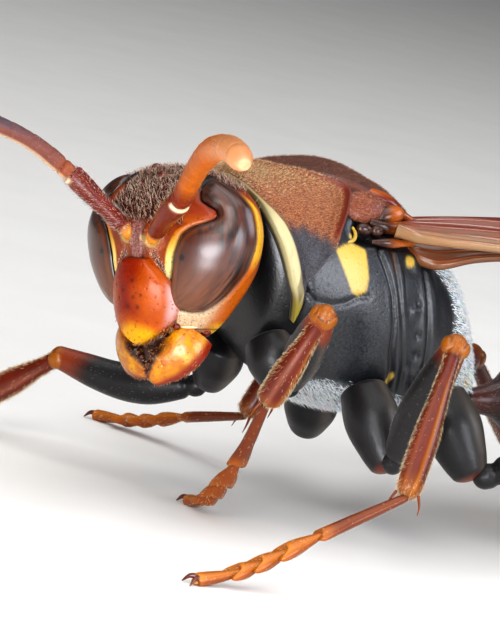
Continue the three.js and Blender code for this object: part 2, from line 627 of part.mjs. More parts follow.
GASTER.cuts.slice(0, -1).forEach((cut, i) => {
  const last = i === GASTER.cuts.length - 2;
  const from = cut + (i ? GAP / 2 : 0);
  const to = GASTER.cuts[i + 1] - GAP / 2;
  const rings = i === 0 ? 10 : 7;
  const ring = skin(GASTER.sides, rings, (t, turn) => {
    const s = rowShare(Math.round(t * rings), rings);
    const y = lerp(from, to, s);
    const centre = new THREE.Vector3(along(GASTER.axisX, y), y, along(GASTER.axisZ, y));
    if ((t === 0 && i > 0) || (t === 1 && !last)) centre.y -= GASTER.nest;
    if (isPole(t)) return centre;
    const reach = along(GASTER.radius, y) + (last ? 0 : GASTER.step * s - (s === 1 ? GASTER.lip : 0));
    const angle = 2 * Math.PI * turn;
    return centre.add(new THREE.Vector3(reach * Math.cos(angle), 0, reach * Math.sin(angle)));
  });
  add(model, `gaster_${i + 1}`, solid(ring).subtract(thoraxGrownPlaced), finish(COLOURS.black, 0.4));
});

// Feelers: a stout scape in its socket, then a ringed lash in two lengths

function lashShape(path, from, to) {
  const curve = new THREE.CatmullRomCurve3(path.map(vec));
  const rows = 15;
  return skin(8, rows, (t, turn) => {
    const s = lerp(from, to, rowShare(Math.round(t * rows), rows));
    const { centre, across, up } = crossing(curve, s, UP);
    if (isPole(t)) return centre;
    const phase = (s * LASH_RINGS) % 1;
    const reach = along(LASH_RADIUS, s) * (LASH_FLARE.base + LASH_FLARE.growth * phase);
    const angle = 2 * Math.PI * turn;
    centre.addScaledVector(across, reach * Math.cos(angle));
    return centre.addScaledVector(up, reach * Math.sin(angle));
  });
}

Object.entries(FEELERS).forEach(([sideName, feeler]) => {
  const scape = solid(limb(feeler.scape, SCAPE_RADIUS));
  const scapeRoom = solid(limb(feeler.scape, SCAPE_RADIUS, { grow: GAP }));
  const length = new THREE.CatmullRomCurve3(feeler.lash.map(vec)).getLength();
  const part = GAP / length / 2;
  add(model, `scape_${sideName}`, scape.subtract(skullGrownPlaced), finish(COLOURS.red, 0.45));
  const base = solid(lashShape(feeler.lash, 0, 0.5 - part)).subtract(scapeRoom);
  const tip = solid(lashShape(feeler.lash, 0.5 + part, 1));
  add(model, `flagellum_base_${sideName}`, base, finish(COLOURS.orange, 0.5));
  add(model, `flagellum_tip_${sideName}`, tip, finish(COLOURS.orange, 0.5));
});

// Wings: a blade with its main veins raised on both faces

function wingShape(path, chord, outward) {
  const curve = new THREE.CatmullRomCurve3(path.map(vec));
  const count = WING_ACROSS.length;
  const rows = 11;
  const loop = [];
  WING_ACROSS.forEach((place) => loop.push([place, 1]));
  for (let i = count - 2; i > 0; i -= 1) loop.push([WING_ACROSS[i], -1]);
  return skin(loop.length, rows, (t, turn) => {
    const s = rowShare(Math.round(t * rows), rows);
    const ahead = curve.getTangentAt(s);
    const normal = vec(outward).addScaledVector(ahead, -vec(outward).dot(ahead)).normalize();
    const down = new THREE.Vector3().crossVectors(ahead, normal);
    if (down.z > 0) down.negate();
    const centre = curve.getPointAt(s);
    if (isPole(t)) return centre;
    const [place, face] = loop[Math.round(turn * loop.length) % loop.length];
    const edge = Math.abs(place) === 1;
    const vein = WING_VEINS.includes(place) && s > VEIN_SPAN[0] && s < VEIN_SPAN[1] ? VEIN_RISE : 0;
    const thick = edge ? 0 : (WING_THICK - VEIN_RISE * 0.5 + vein) * (1 - WING_THINNING * s);
    return centre.addScaledVector(down, place * along(chord, s)).addScaledVector(normal, face * thick);
  });
}

Object.entries(WINGS).forEach(([sideName, wing]) => {
  const foreBlade = solid(wingShape(wing.fore, FORE_CHORD, wing.outward)).subtract(thoraxGrownPlaced);
  const hindBlade = solid(wingShape(wing.hind, HIND_CHORD, wing.outward)).subtract(thoraxGrownPlaced);
  add(model, `forewing_${sideName}`, foreBlade, finish(COLOURS.wing, 0.35));
  add(model, `hindwing_${sideName}`, hindBlade, finish(COLOURS.wing, 0.35));
});

export default model;
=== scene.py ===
"""A paper wasp at life size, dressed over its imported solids.

Sizes are millimetres in the wasp's own frame, where it faces -Y, its left side is +X and +Z is up. Each
piece is worked out with numpy as a closed grid of points, then moved by BASE_SHIFT and turned to metres.
"""
import logging
from dataclasses import dataclass, field
from enum import Enum
from functools import cache
from typing import Optional, Sequence, Union

import bpy
import numpy as np
from mathutils import Matrix


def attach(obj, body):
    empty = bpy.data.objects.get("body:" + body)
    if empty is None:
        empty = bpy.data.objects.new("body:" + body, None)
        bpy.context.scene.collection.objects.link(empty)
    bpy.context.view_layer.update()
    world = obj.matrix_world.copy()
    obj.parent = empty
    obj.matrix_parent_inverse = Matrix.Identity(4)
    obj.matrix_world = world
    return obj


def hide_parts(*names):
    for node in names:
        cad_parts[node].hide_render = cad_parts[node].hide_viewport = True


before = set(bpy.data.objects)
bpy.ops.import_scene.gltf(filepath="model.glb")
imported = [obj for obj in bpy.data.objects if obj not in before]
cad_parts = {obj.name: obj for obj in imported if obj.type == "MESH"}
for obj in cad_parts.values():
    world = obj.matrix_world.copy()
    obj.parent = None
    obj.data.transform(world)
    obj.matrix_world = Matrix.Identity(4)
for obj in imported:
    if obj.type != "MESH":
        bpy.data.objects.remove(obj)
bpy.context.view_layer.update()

Array = np.ndarray
Triple = tuple[float, float, float]
Pairs = Sequence[tuple[float, float]]
Tufts = dict[str, Array]
Piece = bpy.types.Object
Source = Union[bpy.types.Node, bpy.types.NodeSocket]

LOG = logging.getLogger("paper_wasp")
FLOOR_GAP = 0.003
MM = 0.001
BASE_SHIFT = np.array([-0.5579, -1.835, 0.0])
SEED = 11
LEG_SEED = 100
LEG_SEED_STEP = 20


# Curves and frames


SPAN_SAMPLES = 60
NUDGE = 0.004


def keyed(pairs: Pairs, place: Array) -> Array:
    """Read a smooth curve through (place, value) pairs that never overshoots them.

    Between two pairs it is a cubic whose end slopes are the harmonic mean of the slopes on either side,
    or level where those differ in sign.

    Args:
        pairs: the curve's places and values, places rising.
        place: where to read it.

    Returns:
        The curve's values, in the shape of place.
    """
    x, v = np.array(pairs, float).T
    width = np.diff(x)
    slope = np.diff(v) / width
    bend = np.concatenate([slope[:1], np.zeros(len(slope) - 1), slope[-1:]])
    before, after = slope[:-1], slope[1:]
    same = before * after > 0
    bend[1:-1][same] = 2 * before[same] * after[same] / (before[same] + after[same])
    t = np.clip(place, x[0], x[-1])
    k = np.clip(np.searchsorted(x, t, side="right") - 1, 0, len(width) - 1)
    s = (t - x[k]) / width[k]
    blend = s * s * (3 - 2 * s)
    curve = width[k] * s * (1 - s) * (bend[k] * (1 - s) - bend[k + 1] * s)
    return v[k] * (1 - blend) + v[k + 1] * blend + curve


def step(low: float, high: float, value: Array) -> Array:
    """Rise smoothly from 0 at low to 1 at high; low may be the larger, for a fall.

    Args:
        low: the value that gives 0.
        high: the value that gives 1.
        value: what is read.

    Returns:
        Shares from 0 to 1.
    """
    s = np.clip((value - low) / (high - low), 0, 1)
    return s * s * (3 - 2 * s)


def bell(value: Array, width: float) -> Array:
    """A round bump of height 1 at 0 that has fallen to a third at the given width."""
    return np.exp(-(value / width) ** 2)


def window(value: Array, low: float, high: float, soft: float) -> Array:
    """1 between low and high and 0 outside, with both edges soft by the given width."""
    return step(low - soft, low + soft, value) * step(high + soft, high - soft, value)


def unit(vectors: Array) -> Array:
    """Scale vectors on the last axis to length 1."""
    return vectors / np.maximum(np.linalg.norm(vectors, axis=-1, keepdims=True), 1e-12)


@dataclass(frozen=True)
class Path:
    """A centripetal curve through places, read by its share of length."""

    places: Sequence[Sequence[float]]

    def _line(self) -> tuple[Array, Array]:
        """Sample each span as a cubic whose end slopes weigh the spans by the root of their length.

        Returns:
            The samples, and each sample's share of the length.
        """
        p = np.array(self.places, float)
        p = np.vstack([2 * p[0] - p[1], p, 2 * p[-1] - p[-2]])
        t = np.linspace(0, 1, SPAN_SAMPLES, endpoint=False)[:, None]
        spans = []
        for a, b, c, d in zip(p[:-3], p[1:-2], p[2:-1], p[3:]):
            da, db, dc = (np.sqrt(np.linalg.norm(q)) for q in (b - a, c - b, d - c))
            start = ((b - a) / da - (c - a) / (da + db) + (c - b) / db) * db
            end = ((c - b) / db - (d - b) / (db + dc) + (d - c) / dc) * db
            spans.append(b + start * t + (-3 * b + 3 * c - 2 * start - end) * t ** 2
                         + (2 * b - 2 * c + start + end) * t ** 3)
        line = np.vstack(spans + [p[-2]])
        run = np.concatenate([[0], np.cumsum(np.linalg.norm(np.diff(line, axis=0), axis=1))])
        return line, run

    def length(self) -> float:
        """The curve's length in mm."""
        return float(self._line()[1][-1])

    def at(self, share: Array) -> Array:
        """The curve's points at the given shares of its length; beyond its ends it runs on straight.

        Args:
            share: shares of the length.

        Returns:
            The points.
        """
        line, run = self._line()
        share = np.asarray(share, float)
        held = np.clip(share, 0, 1) * run[-1]
        points = np.stack([np.interp(held, run, line[:, i]) for i in range(3)], axis=-1)
        first = unit(line[1] - line[0])
        last = unit(line[-1] - line[-2])
        before = np.minimum(share, 0)[..., None] * run[-1]
        after = np.maximum(share - 1, 0)[..., None] * run[-1]
        return points + first * before + last * after

    def ahead(self, share: Array) -> Array:
        """The curve's direction at the given shares."""
        share = np.asarray(share, float)
        return unit(self.at(share + NUDGE) - self.at(share - NUDGE))

    def part(self, low: float, high: float, count: int = 5) -> "Path":
        """The stretch between two shares, as a path of its own."""
        return Path(self.at(np.linspace(low, high, count)).tolist())


def turned(x: float, y: float, z: float, order: str) -> Array:
    """A rotation matrix from three angles in degrees, the first named axis outermost.

    Args:
        x: the angle about x.
        y: the angle about y.
        z: the angle about z.
        order: the axes' letters.

    Returns:
        The 3 by 3 matrix.
    """
    a, b, c = np.radians([x, y, z])
    about = {
        "X": np.array([[1, 0, 0], [0, np.cos(a), -np.sin(a)], [0, np.sin(a), np.cos(a)]]),
        "Y": np.array([[np.cos(b), 0, np.sin(b)], [0, 1, 0], [-np.sin(b), 0, np.cos(b)]]),
        "Z": np.array([[np.cos(c), -np.sin(c), 0], [np.sin(c), np.cos(c), 0], [0, 0, 1]]),
    }
    return about[order[0]] @ about[order[1]] @ about[order[2]]


@dataclass(frozen=True)
class Place:
    """A turned and moved frame inside the wasp's own frame."""

    centre: Triple
    turn: Array

    def out(self, points: Array) -> Array:
        """Carry points from this frame to the wasp's."""
        return points @ self.turn.T + np.array(self.centre)

    def way(self, x: float, y: float, z: float) -> Array:
        """Turn a direction of this frame into the wasp's."""
        return self.turn @ np.array([x, y, z])


BODY = Place((0.0, 0.0, 4.89), turned(-5.2, -17, 0, "XYZ"))
HEAD = Place((0.53, -4.36, 5.78), turned(0.7, -10.9, 23.4, "ZXY"))


# Closed grids of points


@dataclass
class Grid:
    """A closed surface: rows of points from one end to the other, each row a loop, both ends closed.

    Marks are numbers for each point, which the materials read as attributes.
    """

    points: Array
    marks: dict[str, Union[Array, float]] = field(default_factory=dict)

    def centres(self) -> Array:
        """The middle of each row."""
        return self.points.mean(axis=1, keepdims=True)

    def normals(self) -> Array:
        """Outward directions: the cross product of the steps along and around the grid.

        Returns:
            Unit vectors.
        """
        along = np.gradient(self.points, axis=0)
        around = np.roll(self.points, -1, 1) - np.roll(self.points, 1, 1)
        raw = unit(np.cross(around, along))
        outward = np.sum(raw * (self.points - self.centres()))
        return raw if outward > 0 else -raw

    def raised(self, height: Array) -> "Grid":
        """The same grid with each point moved along its normal by a height in mm."""
        return Grid(self.points + self.normals() * height[..., None], self.marks)

    def placed(self, place: Place) -> "Grid":
        """The same grid carried from a frame to the wasp's."""
        return Grid(place.out(self.points), self.marks)

    def mirrored(self) -> "Grid":
        """The same grid on the other side of the plane x = 0."""
        return Grid(self.points * np.array([-1, 1, 1]), self.marks)

    def corners(self) -> tuple[Array, Array, Array]:
        """List the closed surface's vertices and faces.

        Returns:
            Vertices with the two closing points last, the triangles at the ends, and the quads between.
        """
        rows, columns = self.points.shape[:2]
        index = np.arange(rows * columns).reshape(rows, columns)
        beside = np.roll(index, -1, 1)
        quads = np.stack([index[:-1], beside[:-1], beside[1:], index[1:]], axis=-1).reshape(-1, 4)
        first, last = rows * columns, rows * columns + 1
        cap = np.stack([beside[0], index[0], np.full(columns, first)], axis=-1)
        tail = np.stack([index[-1], beside[-1], np.full(columns, last)], axis=-1)
        ends = self.centres()[[0, -1], 0]
        vertices = np.vstack([self.points.reshape(-1, 3), ends])
        triangles = np.vstack([cap, tail])
        a, b, c, d = (vertices[quads[:, i]] for i in range(4))
        volume = np.sum(a * np.cross(b, c)) + np.sum(a * np.cross(c, d))
        if volume < 0:
            quads, triangles = quads[:, ::-1], triangles[:, ::-1]
        return vertices, triangles, quads

    def mark_values(self, name: str) -> Array:
        """One mark at every vertex, the closing points taking the mean of their row.

        Args:
            name: the mark; 0 where the grid hasn't got it.

        Returns:
            The values, as one row.
        """
        values = np.broadcast_to(self.marks.get(name, 0.0), self.points.shape[:2])
        return np.concatenate([values.ravel(), values[[0, -1]].mean(axis=1)])


def lathe_rows(count: int) -> Array:
    """Shares from 0 to 1 that lie closer together at both ends, as the rings of a ball do."""
    return 0.5 - 0.5 * np.cos(np.pi * np.linspace(0.004, 0.996, count))


def loop_angles(count: int) -> Array:
    """Angles of a full turn, in radians, without the last one that meets the first."""
    return 2 * np.pi * np.arange(count) / count


def ball(centre: Sequence[float], half: Sequence[float], rows: int = 24, columns: int = 32,
         turn: Optional[Array] = None) -> Grid:
    """A ball squeezed to three half sizes, turned and placed.

    Args:
        centre: its middle.
        half: its half sizes.
        rows: rings.
        columns: points in a ring.
        turn: a rotation matrix, or nothing.

    Returns:
        The grid.
    """
    a = np.pi * np.linspace(0.02, 0.98, rows)[:, None]
    b = loop_angles(columns)[None]
    axes = np.broadcast_arrays(np.sin(a) * np.cos(b), np.sin(a) * np.sin(b), np.cos(a))
    shape = np.stack(axes, axis=-1) * np.array(half)
    if turn is not None:
        shape = shape @ turn.T
    return Grid(shape + np.array(centre))


def limb(path: Path, radius: Pairs, rows: int, columns: int, flat: float = 1.0,
         side: Triple = (0.0, 0.0, 1.0), blunt: float = 0.5) -> Grid:
    """A round limb: at each share of the path, a loop of the keyed radius square to the path.

    Both ends are rounded off as a quarter ellipse, blunt times the end radius long.

    Args:
        path: the middle line.
        radius: pairs of share and radius in mm.
        rows: loops along it.
        columns: points in a loop.
        flat: the loop's height over its width.
        side: a direction that the loop's height leans to.
        blunt: how long the rounding at the ends is.

    Returns:
        The grid, with marks along (share), turn (share of the loop) and up (-1 to 1 over the loop).
    """
    share = lathe_rows(rows)
    reach = keyed(radius, share)
    length = path.length()
    soft = max(blunt * min(reach[0], reach[-1]) / length, 1e-3)
    end = np.minimum(np.minimum(share, 1 - share) / soft, 1)
    reach = reach * np.sqrt(1 - (1 - end) ** 2)
    ahead = path.ahead(share)
    across = unit(np.cross(ahead, np.array(side, float)))
    up = np.cross(across, ahead)
    angle = loop_angles(columns)[None, :, None]
    wide = reach[:, None, None] * np.cos(angle) * across[:, None]
    high = flat * reach[:, None, None] * np.sin(angle) * up[:, None]
    grid = Grid(path.at(share)[:, None] + wide + high)
    shape = grid.points.shape[:2]
    grid.marks["along"] = np.broadcast_to(share[:, None], shape).copy()
    grid.marks["turn"] = np.broadcast_to(np.arange(columns)[None] / columns, shape).copy()
    grid.marks["up"] = np.broadcast_to(np.sin(angle[..., 0]), shape).copy()
    return grid


# Materials


def linear(code: str) -> tuple[float, float, float, float]:
    """Turn an sRGB hex colour into the linear colour that shaders take.

    Args:
        code: the six hex digits.

    Returns:
        Red, green, blue and full cover.
    """
    values = [int(code[i:i + 2], 16) / 255 for i in (0, 2, 4)]
    red, green, blue = (v / 12.92 if v <= 0.04045 else ((v + 0.055) / 1.055) ** 2.4 for v in values)
    return red, green, blue, 1.0


class Shader:
    """A material and the calls that fill its node tree."""

    def __init__(self, name: str) -> None:
        """Start a material with an empty tree.

        Args:
            name: the material's name.
        """
        self.material = bpy.data.materials.new(name)
        self.material.use_nodes = True
        self.tree = self.material.node_tree
        self.tree.nodes.clear()

    def node(self, kind: str, settings: dict, links: Optional[dict] = None) -> bpy.types.Node:
        """Add a node, set its properties and inputs, and link its inputs.

        Args:
            kind: the node's type, after its first word.
            settings: lower-case names are the node's properties, others its inputs.
            links: inputs, each with an output or with a node whose first live output feeds it.

        Returns:
            The node.
        """
        made = self.tree.nodes.new("ShaderNode" + kind)
        for key, value in settings.items():
            if key[0].islower():
                setattr(made, key, value)
        live = {}
        for socket in made.inputs:
            if socket.enabled:
                live[socket.name + " 2" if socket.name in live else socket.name] = socket
        for key, value in settings.items():
            if not key[0].islower():
                live[key].default_value = value
        for key, source in (links or {}).items():
            if isinstance(source, bpy.types.Node):
                source = next(output for output in source.outputs if output.enabled)
            self.tree.links.new(source, live[key])
        return made

    def place(self) -> bpy.types.NodeSocket:
        """The piece's own coordinates, in metres."""
        return self.node("TexCoord", {}).outputs["Object"]

    def mark(self, name: str) -> bpy.types.NodeSocket:
        """A mark of the grid."""
        return self.node("Attribute", {"attribute_name": name}).outputs["Fac"]

    def noise(self, size_mm: float, place: Source, detail: float, rough: float = 0.5) -> bpy.types.Node:
        """Clouds of about a size in mm."""
        settings = {"Scale": 1 / (size_mm * MM), "Detail": detail, "Roughness": rough}
        return self.node("TexNoise", settings, {"Vector": place})

    def cells(self, size_mm: float, place: Source) -> bpy.types.Node:
        """Distance from the middle of cells of about a size in mm."""
        return self.node("TexVoronoi", {"feature": "F1", "Scale": 1 / (size_mm * MM)}, {"Vector": place})

    def ranged(self, value: Source, low: float, high: float, first: float = 0.0, last: float = 1.0,
               curve: str = "LINEAR") -> bpy.types.Node:
        """Map low to high onto first to last, held at both ends.

        Args:
            value: what is mapped.
            low: the value that gives first.
            high: the value that gives last.
            first: what low gives.
            last: what high gives.
            curve: the way between them.

        Returns:
            The node.
        """
        settings = {"interpolation_type": curve, "From Min": low, "From Max": high, "To Min": first,
                    "To Max": last}
        return self.node("MapRange", settings, {"Value": value})

    def product(self, value: Source, other: Union[Source, float]) -> bpy.types.Node:
        """Multiply a value by another one or by a number.

        Args:
            value: the value.
            other: what it is multiplied by.

        Returns:
            The node.
        """
        if isinstance(other, float):
            return self.node("Math", {"operation": "MULTIPLY", "Value 2": other}, {"Value": value})
        return self.node("Math", {"operation": "MULTIPLY"}, {"Value": value, "Value 2": other})

    def mix(self, share: Source, under: Union[Source, str], over: str) -> bpy.types.Node:
        """Lay a hex colour over a hex colour or a node's, by a share.

        Args:
            share: how much of the upper colour shows.
            under: the lower colour.
            over: the upper colour.

        Returns:
            The node.
        """
        settings, links = {"data_type": "RGBA", "B": linear(over)}, {"Factor": share}
        if isinstance(under, str):
            settings["A"] = linear(under)
        else:
            links["A"] = under
        return self.node("Mix", settings, links)

    def bump(self, height: Source, depth_mm: float, over: Optional[Source] = None) -> bpy.types.Node:
        """Relief of a depth in mm, on top of another relief where one is given."""
        links = {"Height": height, "Normal": over} if over else {"Height": height}
        return self.node("Bump", {"Strength": 1.0, "Distance": depth_mm * MM}, links)

    def surface(self, settings: dict, links: dict) -> bpy.types.Material:
        """Close the tree with its surface and give the material."""
        self.node("OutputMaterial", {}, {"Surface": self.node("BsdfPrincipled", settings, links)})
        return self.material


@dataclass(frozen=True)
class Layer:
    """A colour laid over those before it, as strongly as a mark says, broken up by a fine grain."""

    mark: str
    colour: str
    strength: float = 1.0
    grain_mm: float = 0.0
    sharp: float = 0.25


@dataclass(frozen=True)
class Cuticle:
    """Insect shell: hardened chitin, pigmented under a clear waxy surface.

    The ground colour is clouded with a second one; marks lay further colours over it. Fine grain and
    pits are bump. Sheen stands for down too short to see as hairs.
    """

    name: str
    ground: str
    cloud: str
    layers: tuple[Layer, ...] = ()
    cloud_mm: float = 0.5
    cloud_share: float = 0.6
    grain_mm: float = 0.05
    grain_depth_mm: float = 0.004
    pit_mm: float = 0.0
    pit_depth_mm: float = 0.0
    pit_colour: str = "000000"
    pit_share: float = 0.0
    roughness: float = 0.35
    rough_spread: float = 0.12
    gloss: float = 0.25
    shine: float = 0.35
    glow: float = 0.0
    sheen: float = 0.0
    sheen_colour: str = "FFFFFF"

    def make(self) -> bpy.types.Material:
        """Lay clouds, layers, grain and pits over each other under the wax.

        Returns:
            The material.
        """
        shader = Shader(self.name)
        place = shader.place()
        clouds = shader.noise(self.cloud_mm, place, 4.0, 0.6)
        spread = shader.ranged(clouds, 0.35, 0.65, 0.0, self.cloud_share)
        colour = shader.mix(spread, self.ground, self.cloud)
        for layer in self.layers:
            share = shader.product(shader.mark(layer.mark), layer.strength)
            if layer.grain_mm:
                grain = shader.noise(layer.grain_mm, place, 2.0)
                share = shader.product(share, shader.ranged(grain, 0.5 - layer.sharp, 0.5 + layer.sharp))
            colour = shader.mix(share, colour, layer.colour)
        fine = shader.noise(self.grain_mm, place, 3.0)
        relief = shader.bump(fine, self.grain_depth_mm)
        if self.pit_mm:
            pits = shader.cells(self.pit_mm, place)
            hollows = shader.ranged(pits, 0.0, 0.38, curve="SMOOTHSTEP")
            relief = shader.bump(hollows, self.pit_depth_mm, relief)
            colour = shader.mix(shader.ranged(pits, 0.05, 0.3, self.pit_share, 0.0), colour, self.pit_colour)
        low, high = self.roughness - self.rough_spread, self.roughness + self.rough_spread
        settings = {"IOR": 1.5, "Specular IOR Level": self.shine, "Coat Weight": self.gloss,
                    "Coat Roughness": 0.18, "Subsurface Weight": self.glow, "Subsurface Scale": 0.15 * MM,
                    "Sheen Weight": self.sheen, "Sheen Roughness": 0.4,
                    "Sheen Tint": linear(self.sheen_colour)}
        rough = shader.ranged(fine, 0.0, 1.0, low, high)
        return shader.surface(settings, {"Base Color": colour, "Roughness": rough, "Normal": relief})


@dataclass(frozen=True)
class EyeLens:
    """A compound eye: hundreds of clear facets over dark red pigment, under one smooth gloss.

    The pigment is banded along the eye with dark streaks; the facets are a fine bump.
    """

    name: str = "eye_facets"
    base: str = "4A2112"
    deep: str = "160603"
    warm: str = "6A3A1C"
    spot: str = "0B0403"
    facet_mm: float = 0.04

    def make(self) -> bpy.types.Material:
        """Lay warm ground, streaks and spots under the facets.

        Returns:
            The material.
        """
        shader = Shader(self.name)
        lanes = shader.node("CombineXYZ", {}, {"X": shader.mark("lane"), "Y": shader.mark("level")})
        settings = {"Scale": 5.0, "Detail": 5.0, "Roughness": 0.62, "Distortion": 0.3}
        streaks = shader.ranged(shader.node("TexNoise", settings, {"Vector": lanes}), 0.46, 0.58)
        colour = shader.mix(shader.mark("warm"), self.base, self.warm)
        colour = shader.mix(shader.product(streaks, shader.mark("streaked")), colour, self.deep)
        colour = shader.mix(shader.mark("spots"), colour, self.spot)
        relief = shader.bump(shader.cells(self.facet_mm, shader.place()), 0.002)
        relief.inputs["Strength"].default_value = 0.5
        relief.invert = True
        settings = {"Roughness": 0.32, "IOR": 1.5, "Coat Weight": 0.55, "Coat Roughness": 0.3}
        return shader.surface(settings, {"Base Color": colour, "Normal": relief})


@dataclass(frozen=True)
class WingSkin:
    """A folded wing: two clear chitin films, smoky amber, stiffened by darker lengthwise veins."""

    name: str = "wing_membrane"
    film: str = "7E3E12"
    olive: str = "5A3A14"
    marks: Sequence[tuple[str, str]] = (("pale", "D0AC80"), ("rust", "6E2C08"), ("vein", "7A2A0C"))

    def make(self) -> bpy.types.Material:
        """Lay lengthwise fibres, pale edge, rust and veins on the film.

        Returns:
            The material.
        """
        shader = Shader(self.name)
        stretched = shader.node("Mapping", {"Scale": (1.0, 0.12, 1.0)}, {"Vector": shader.place()})
        fibres = shader.noise(0.12, stretched, 4.0)
        colour = shader.mix(shader.ranged(fibres, 0.3, 0.7), self.film, self.olive)
        for mark, code in self.marks:
            colour = shader.mix(shader.mark(mark), colour, code)
        settings = {"Roughness": 0.3, "IOR": 1.5, "Coat Weight": 0.35, "Coat Roughness": 0.15,
                    "Transmission Weight": 0.15, "Subsurface Weight": 0.2, "Subsurface Scale": 0.2 * MM}
        return shader.surface(settings, {"Base Color": colour, "Normal": shader.bump(fibres, 0.012)})


@dataclass(frozen=True)
class HairFinish:
    """Insect hair: fine chitin bristles, clear to golden, shining along their length."""

    name: str
    colour: str
    tip: str

    def make(self) -> bpy.types.Material:
        """Tone each hair between the two colours.

        Returns:
            The material.
        """
        shader = Shader(self.name)
        colour = shader.mix(shader.mark("tone"), self.colour, self.tip)
        settings = {"Roughness": 0.4, "IOR": 1.55, "Subsurface Weight": 0.3, "Subsurface Scale": 0.03 * MM}
        return shader.surface(settings, {"Base Color": colour})


Recipe = Union[Cuticle, EyeLens, WingSkin, HairFinish]


class Finish(Enum):
    """The wasp's finishes, each from what the real surface is.

    The comment over each says what it gives the eye.
    """

    # Rust-brown skin, velvety dark on the crown, with yellow orbits and a pale cheek, partly pale bloom and
    # partly a painted reflection
    FACE = Cuticle("face_chitin", "84380A", "662406", (
        Layer("velvet", "30110A", 0.97), Layer("ember", "7E2804", 0.9), Layer("pale", "AE8E68", 0.88),
        Layer("pale", "CDBCA0", 0.6, 0.03, 0.12), Layer("plum", "5A302C", 0.9),
        Layer("plum", "9A7068", 0.7, 0.03, 0.1), Layer("orange", "AC560A"), Layer("yellow", "C48E12"),
        Layer("cream", "E4D084"), Layer("down", "B98F78", 0.5, 0.04, 0.1), Layer("dark", "120705")),
        cloud_mm=0.4, grain_depth_mm=0.005, pit_mm=0.11, pit_depth_mm=0.008,
        pit_colour="4E1A0C", pit_share=0.5, roughness=0.36, gloss=0.2, shine=0.2)
    # Burnt orange, redder in the middle, finely pitted, its tip yellow; the pale grey along its side edges is
    # a painted reflection
    SHIELD = Cuticle("face_shield_chitin", "A64A02", "8A3402", (
        Layer("ember", "741802", 0.95), Layer("yellow", "CC920C"), Layer("pale", "C8C0C4", 0.74),
        Layer("dark", "3A1208")),
        cloud_mm=0.35, grain_mm=0.06, grain_depth_mm=0.004, pit_mm=0.12, pit_depth_mm=0.009,
        pit_colour="5E1206", pit_share=0.55, roughness=0.3, gloss=0.2, shine=0.12)
    # Amber with reddened edges and dark teeth, coarsely pitted and waxed
    JAW = Cuticle("jaw_chitin", "C08408", "984406", (
        Layer("ember", "7A1E04"), Layer("pale", "FFE08A", 0.5), Layer("dark", "2A0F08")),
        cloud_mm=0.32, cloud_share=0.9, grain_mm=0.08, grain_depth_mm=0.008, pit_mm=0.13, pit_depth_mm=0.014,
        pit_colour="A04A08", pit_share=0.6, roughness=0.3, gloss=0.35, glow=0.03)
    # Dull brown fleece above slate grey, its front ridge pale; the slate grey carries a grey bloom that is
    # partly a painted sheen
    COLLAR = Cuticle("collar_chitin", "64280F", "481A0B", (
        Layer("grey", "191A20", 0.97), Layer("down", "9A5A3C", 0.4, 0.045, 0.12),
        Layer("frost", "5A5E68", 0.35, 0.05, 0.15), Layer("yellow", "7E7024"), Layer("pale", "B6AC80", 0.9),
        Layer("rust", "5E1E0C"), Layer("dark", "0E0908")),
        cloud_mm=0.6, grain_depth_mm=0.006, pit_mm=0.09, pit_depth_mm=0.004,
        roughness=0.46, gloss=0.08, sheen=0.1, sheen_colour="F2D9C8")
    # Near black with a cold bloom that is partly a painted blue-grey sheen, brown on the back, a large yellow
    # spot and small ones on the flank
    THORAX = Cuticle("thorax_chitin", "0A0B0E", "101116", (
        Layer("brown", "4A2414"), Layer("rust", "7A3212"), Layer("frost", "6E747E", 0.16, 0.055, 0.2),
        Layer("down", "E4E6E8", 0.7, 0.05, 0.2), Layer("yellow", "B8983E"), Layer("orange", "A8601C"),
        Layer("dark", "08080A")),
        cloud_mm=0.7, grain_depth_mm=0.006, pit_mm=0.12, pit_depth_mm=0.004,
        roughness=0.36, gloss=0.1, shine=0.6, sheen=0.03, sheen_colour="C9D2E0")
    # Charcoal going rust red at the knee
    THIGH = Cuticle("thigh_chitin", "121113", "1A1718", (
        Layer("rust", "742A06"), Layer("orange", "8E5008"), Layer("pale", "C9B9A6", 0.25),
        Layer("dark", "0A0808")),
        cloud_mm=0.5, grain_depth_mm=0.005, roughness=0.42, gloss=0.1, sheen=0.1,
        sheen_colour="D8D2CC")
    # Deep red with an orange stripe along it and a pinkish line, both painted highlights
    SHIN = Cuticle("shin_chitin", "601C06", "461204", (
        Layer("ember", "481606"), Layer("orange", "8E5008"), Layer("pale", "D09070", 0.5),
        Layer("dark", "3A1308")),
        cloud_mm=0.4, grain_depth_mm=0.007, roughness=0.36, gloss=0.2, shine=0.3, glow=0.02)
    # Orange-brown, each joint's end darker; lighter on top by painted light, as the orange and pale lie on
    # the upper side only
    FOOT = Cuticle("foot_chitin", "8E460A", "703208", (
        Layer("orange", "B0640C"), Layer("pale", "E0A070", 0.4), Layer("rust", "521B06", 0.9),
        Layer("dark", "41180A")),
        cloud_mm=0.3, grain_depth_mm=0.006, roughness=0.38, gloss=0.2, shine=0.3, glow=0.03)
    # Glossy red-brown with an orange foot and a pale end
    SCAPE = Cuticle("scape_chitin", "6C1C05", "4A1204", (
        Layer("pale", "E8D0A8"), Layer("orange", "CE7C12")),
        cloud_mm=0.3, grain_depth_mm=0.006, roughness=0.38, gloss=0.2, shine=0.3, glow=0.03)
    # Orange on the left feeler, rose to slate grey on the right one
    LASH = Cuticle("feeler_chitin", "B85E02", "944402", (
        Layer("rose", "643E3A", 0.9), Layer("ember", "6E1C06", 0.95), Layer("grey", "3C3C48", 0.9),
        Layer("pale", "F0CFA8", 0.85), Layer("dark", "6E2A0A", 0.5)),
        cloud_mm=0.5, grain_mm=0.03, grain_depth_mm=0.003, roughness=0.42, gloss=0.1, shine=0.15)
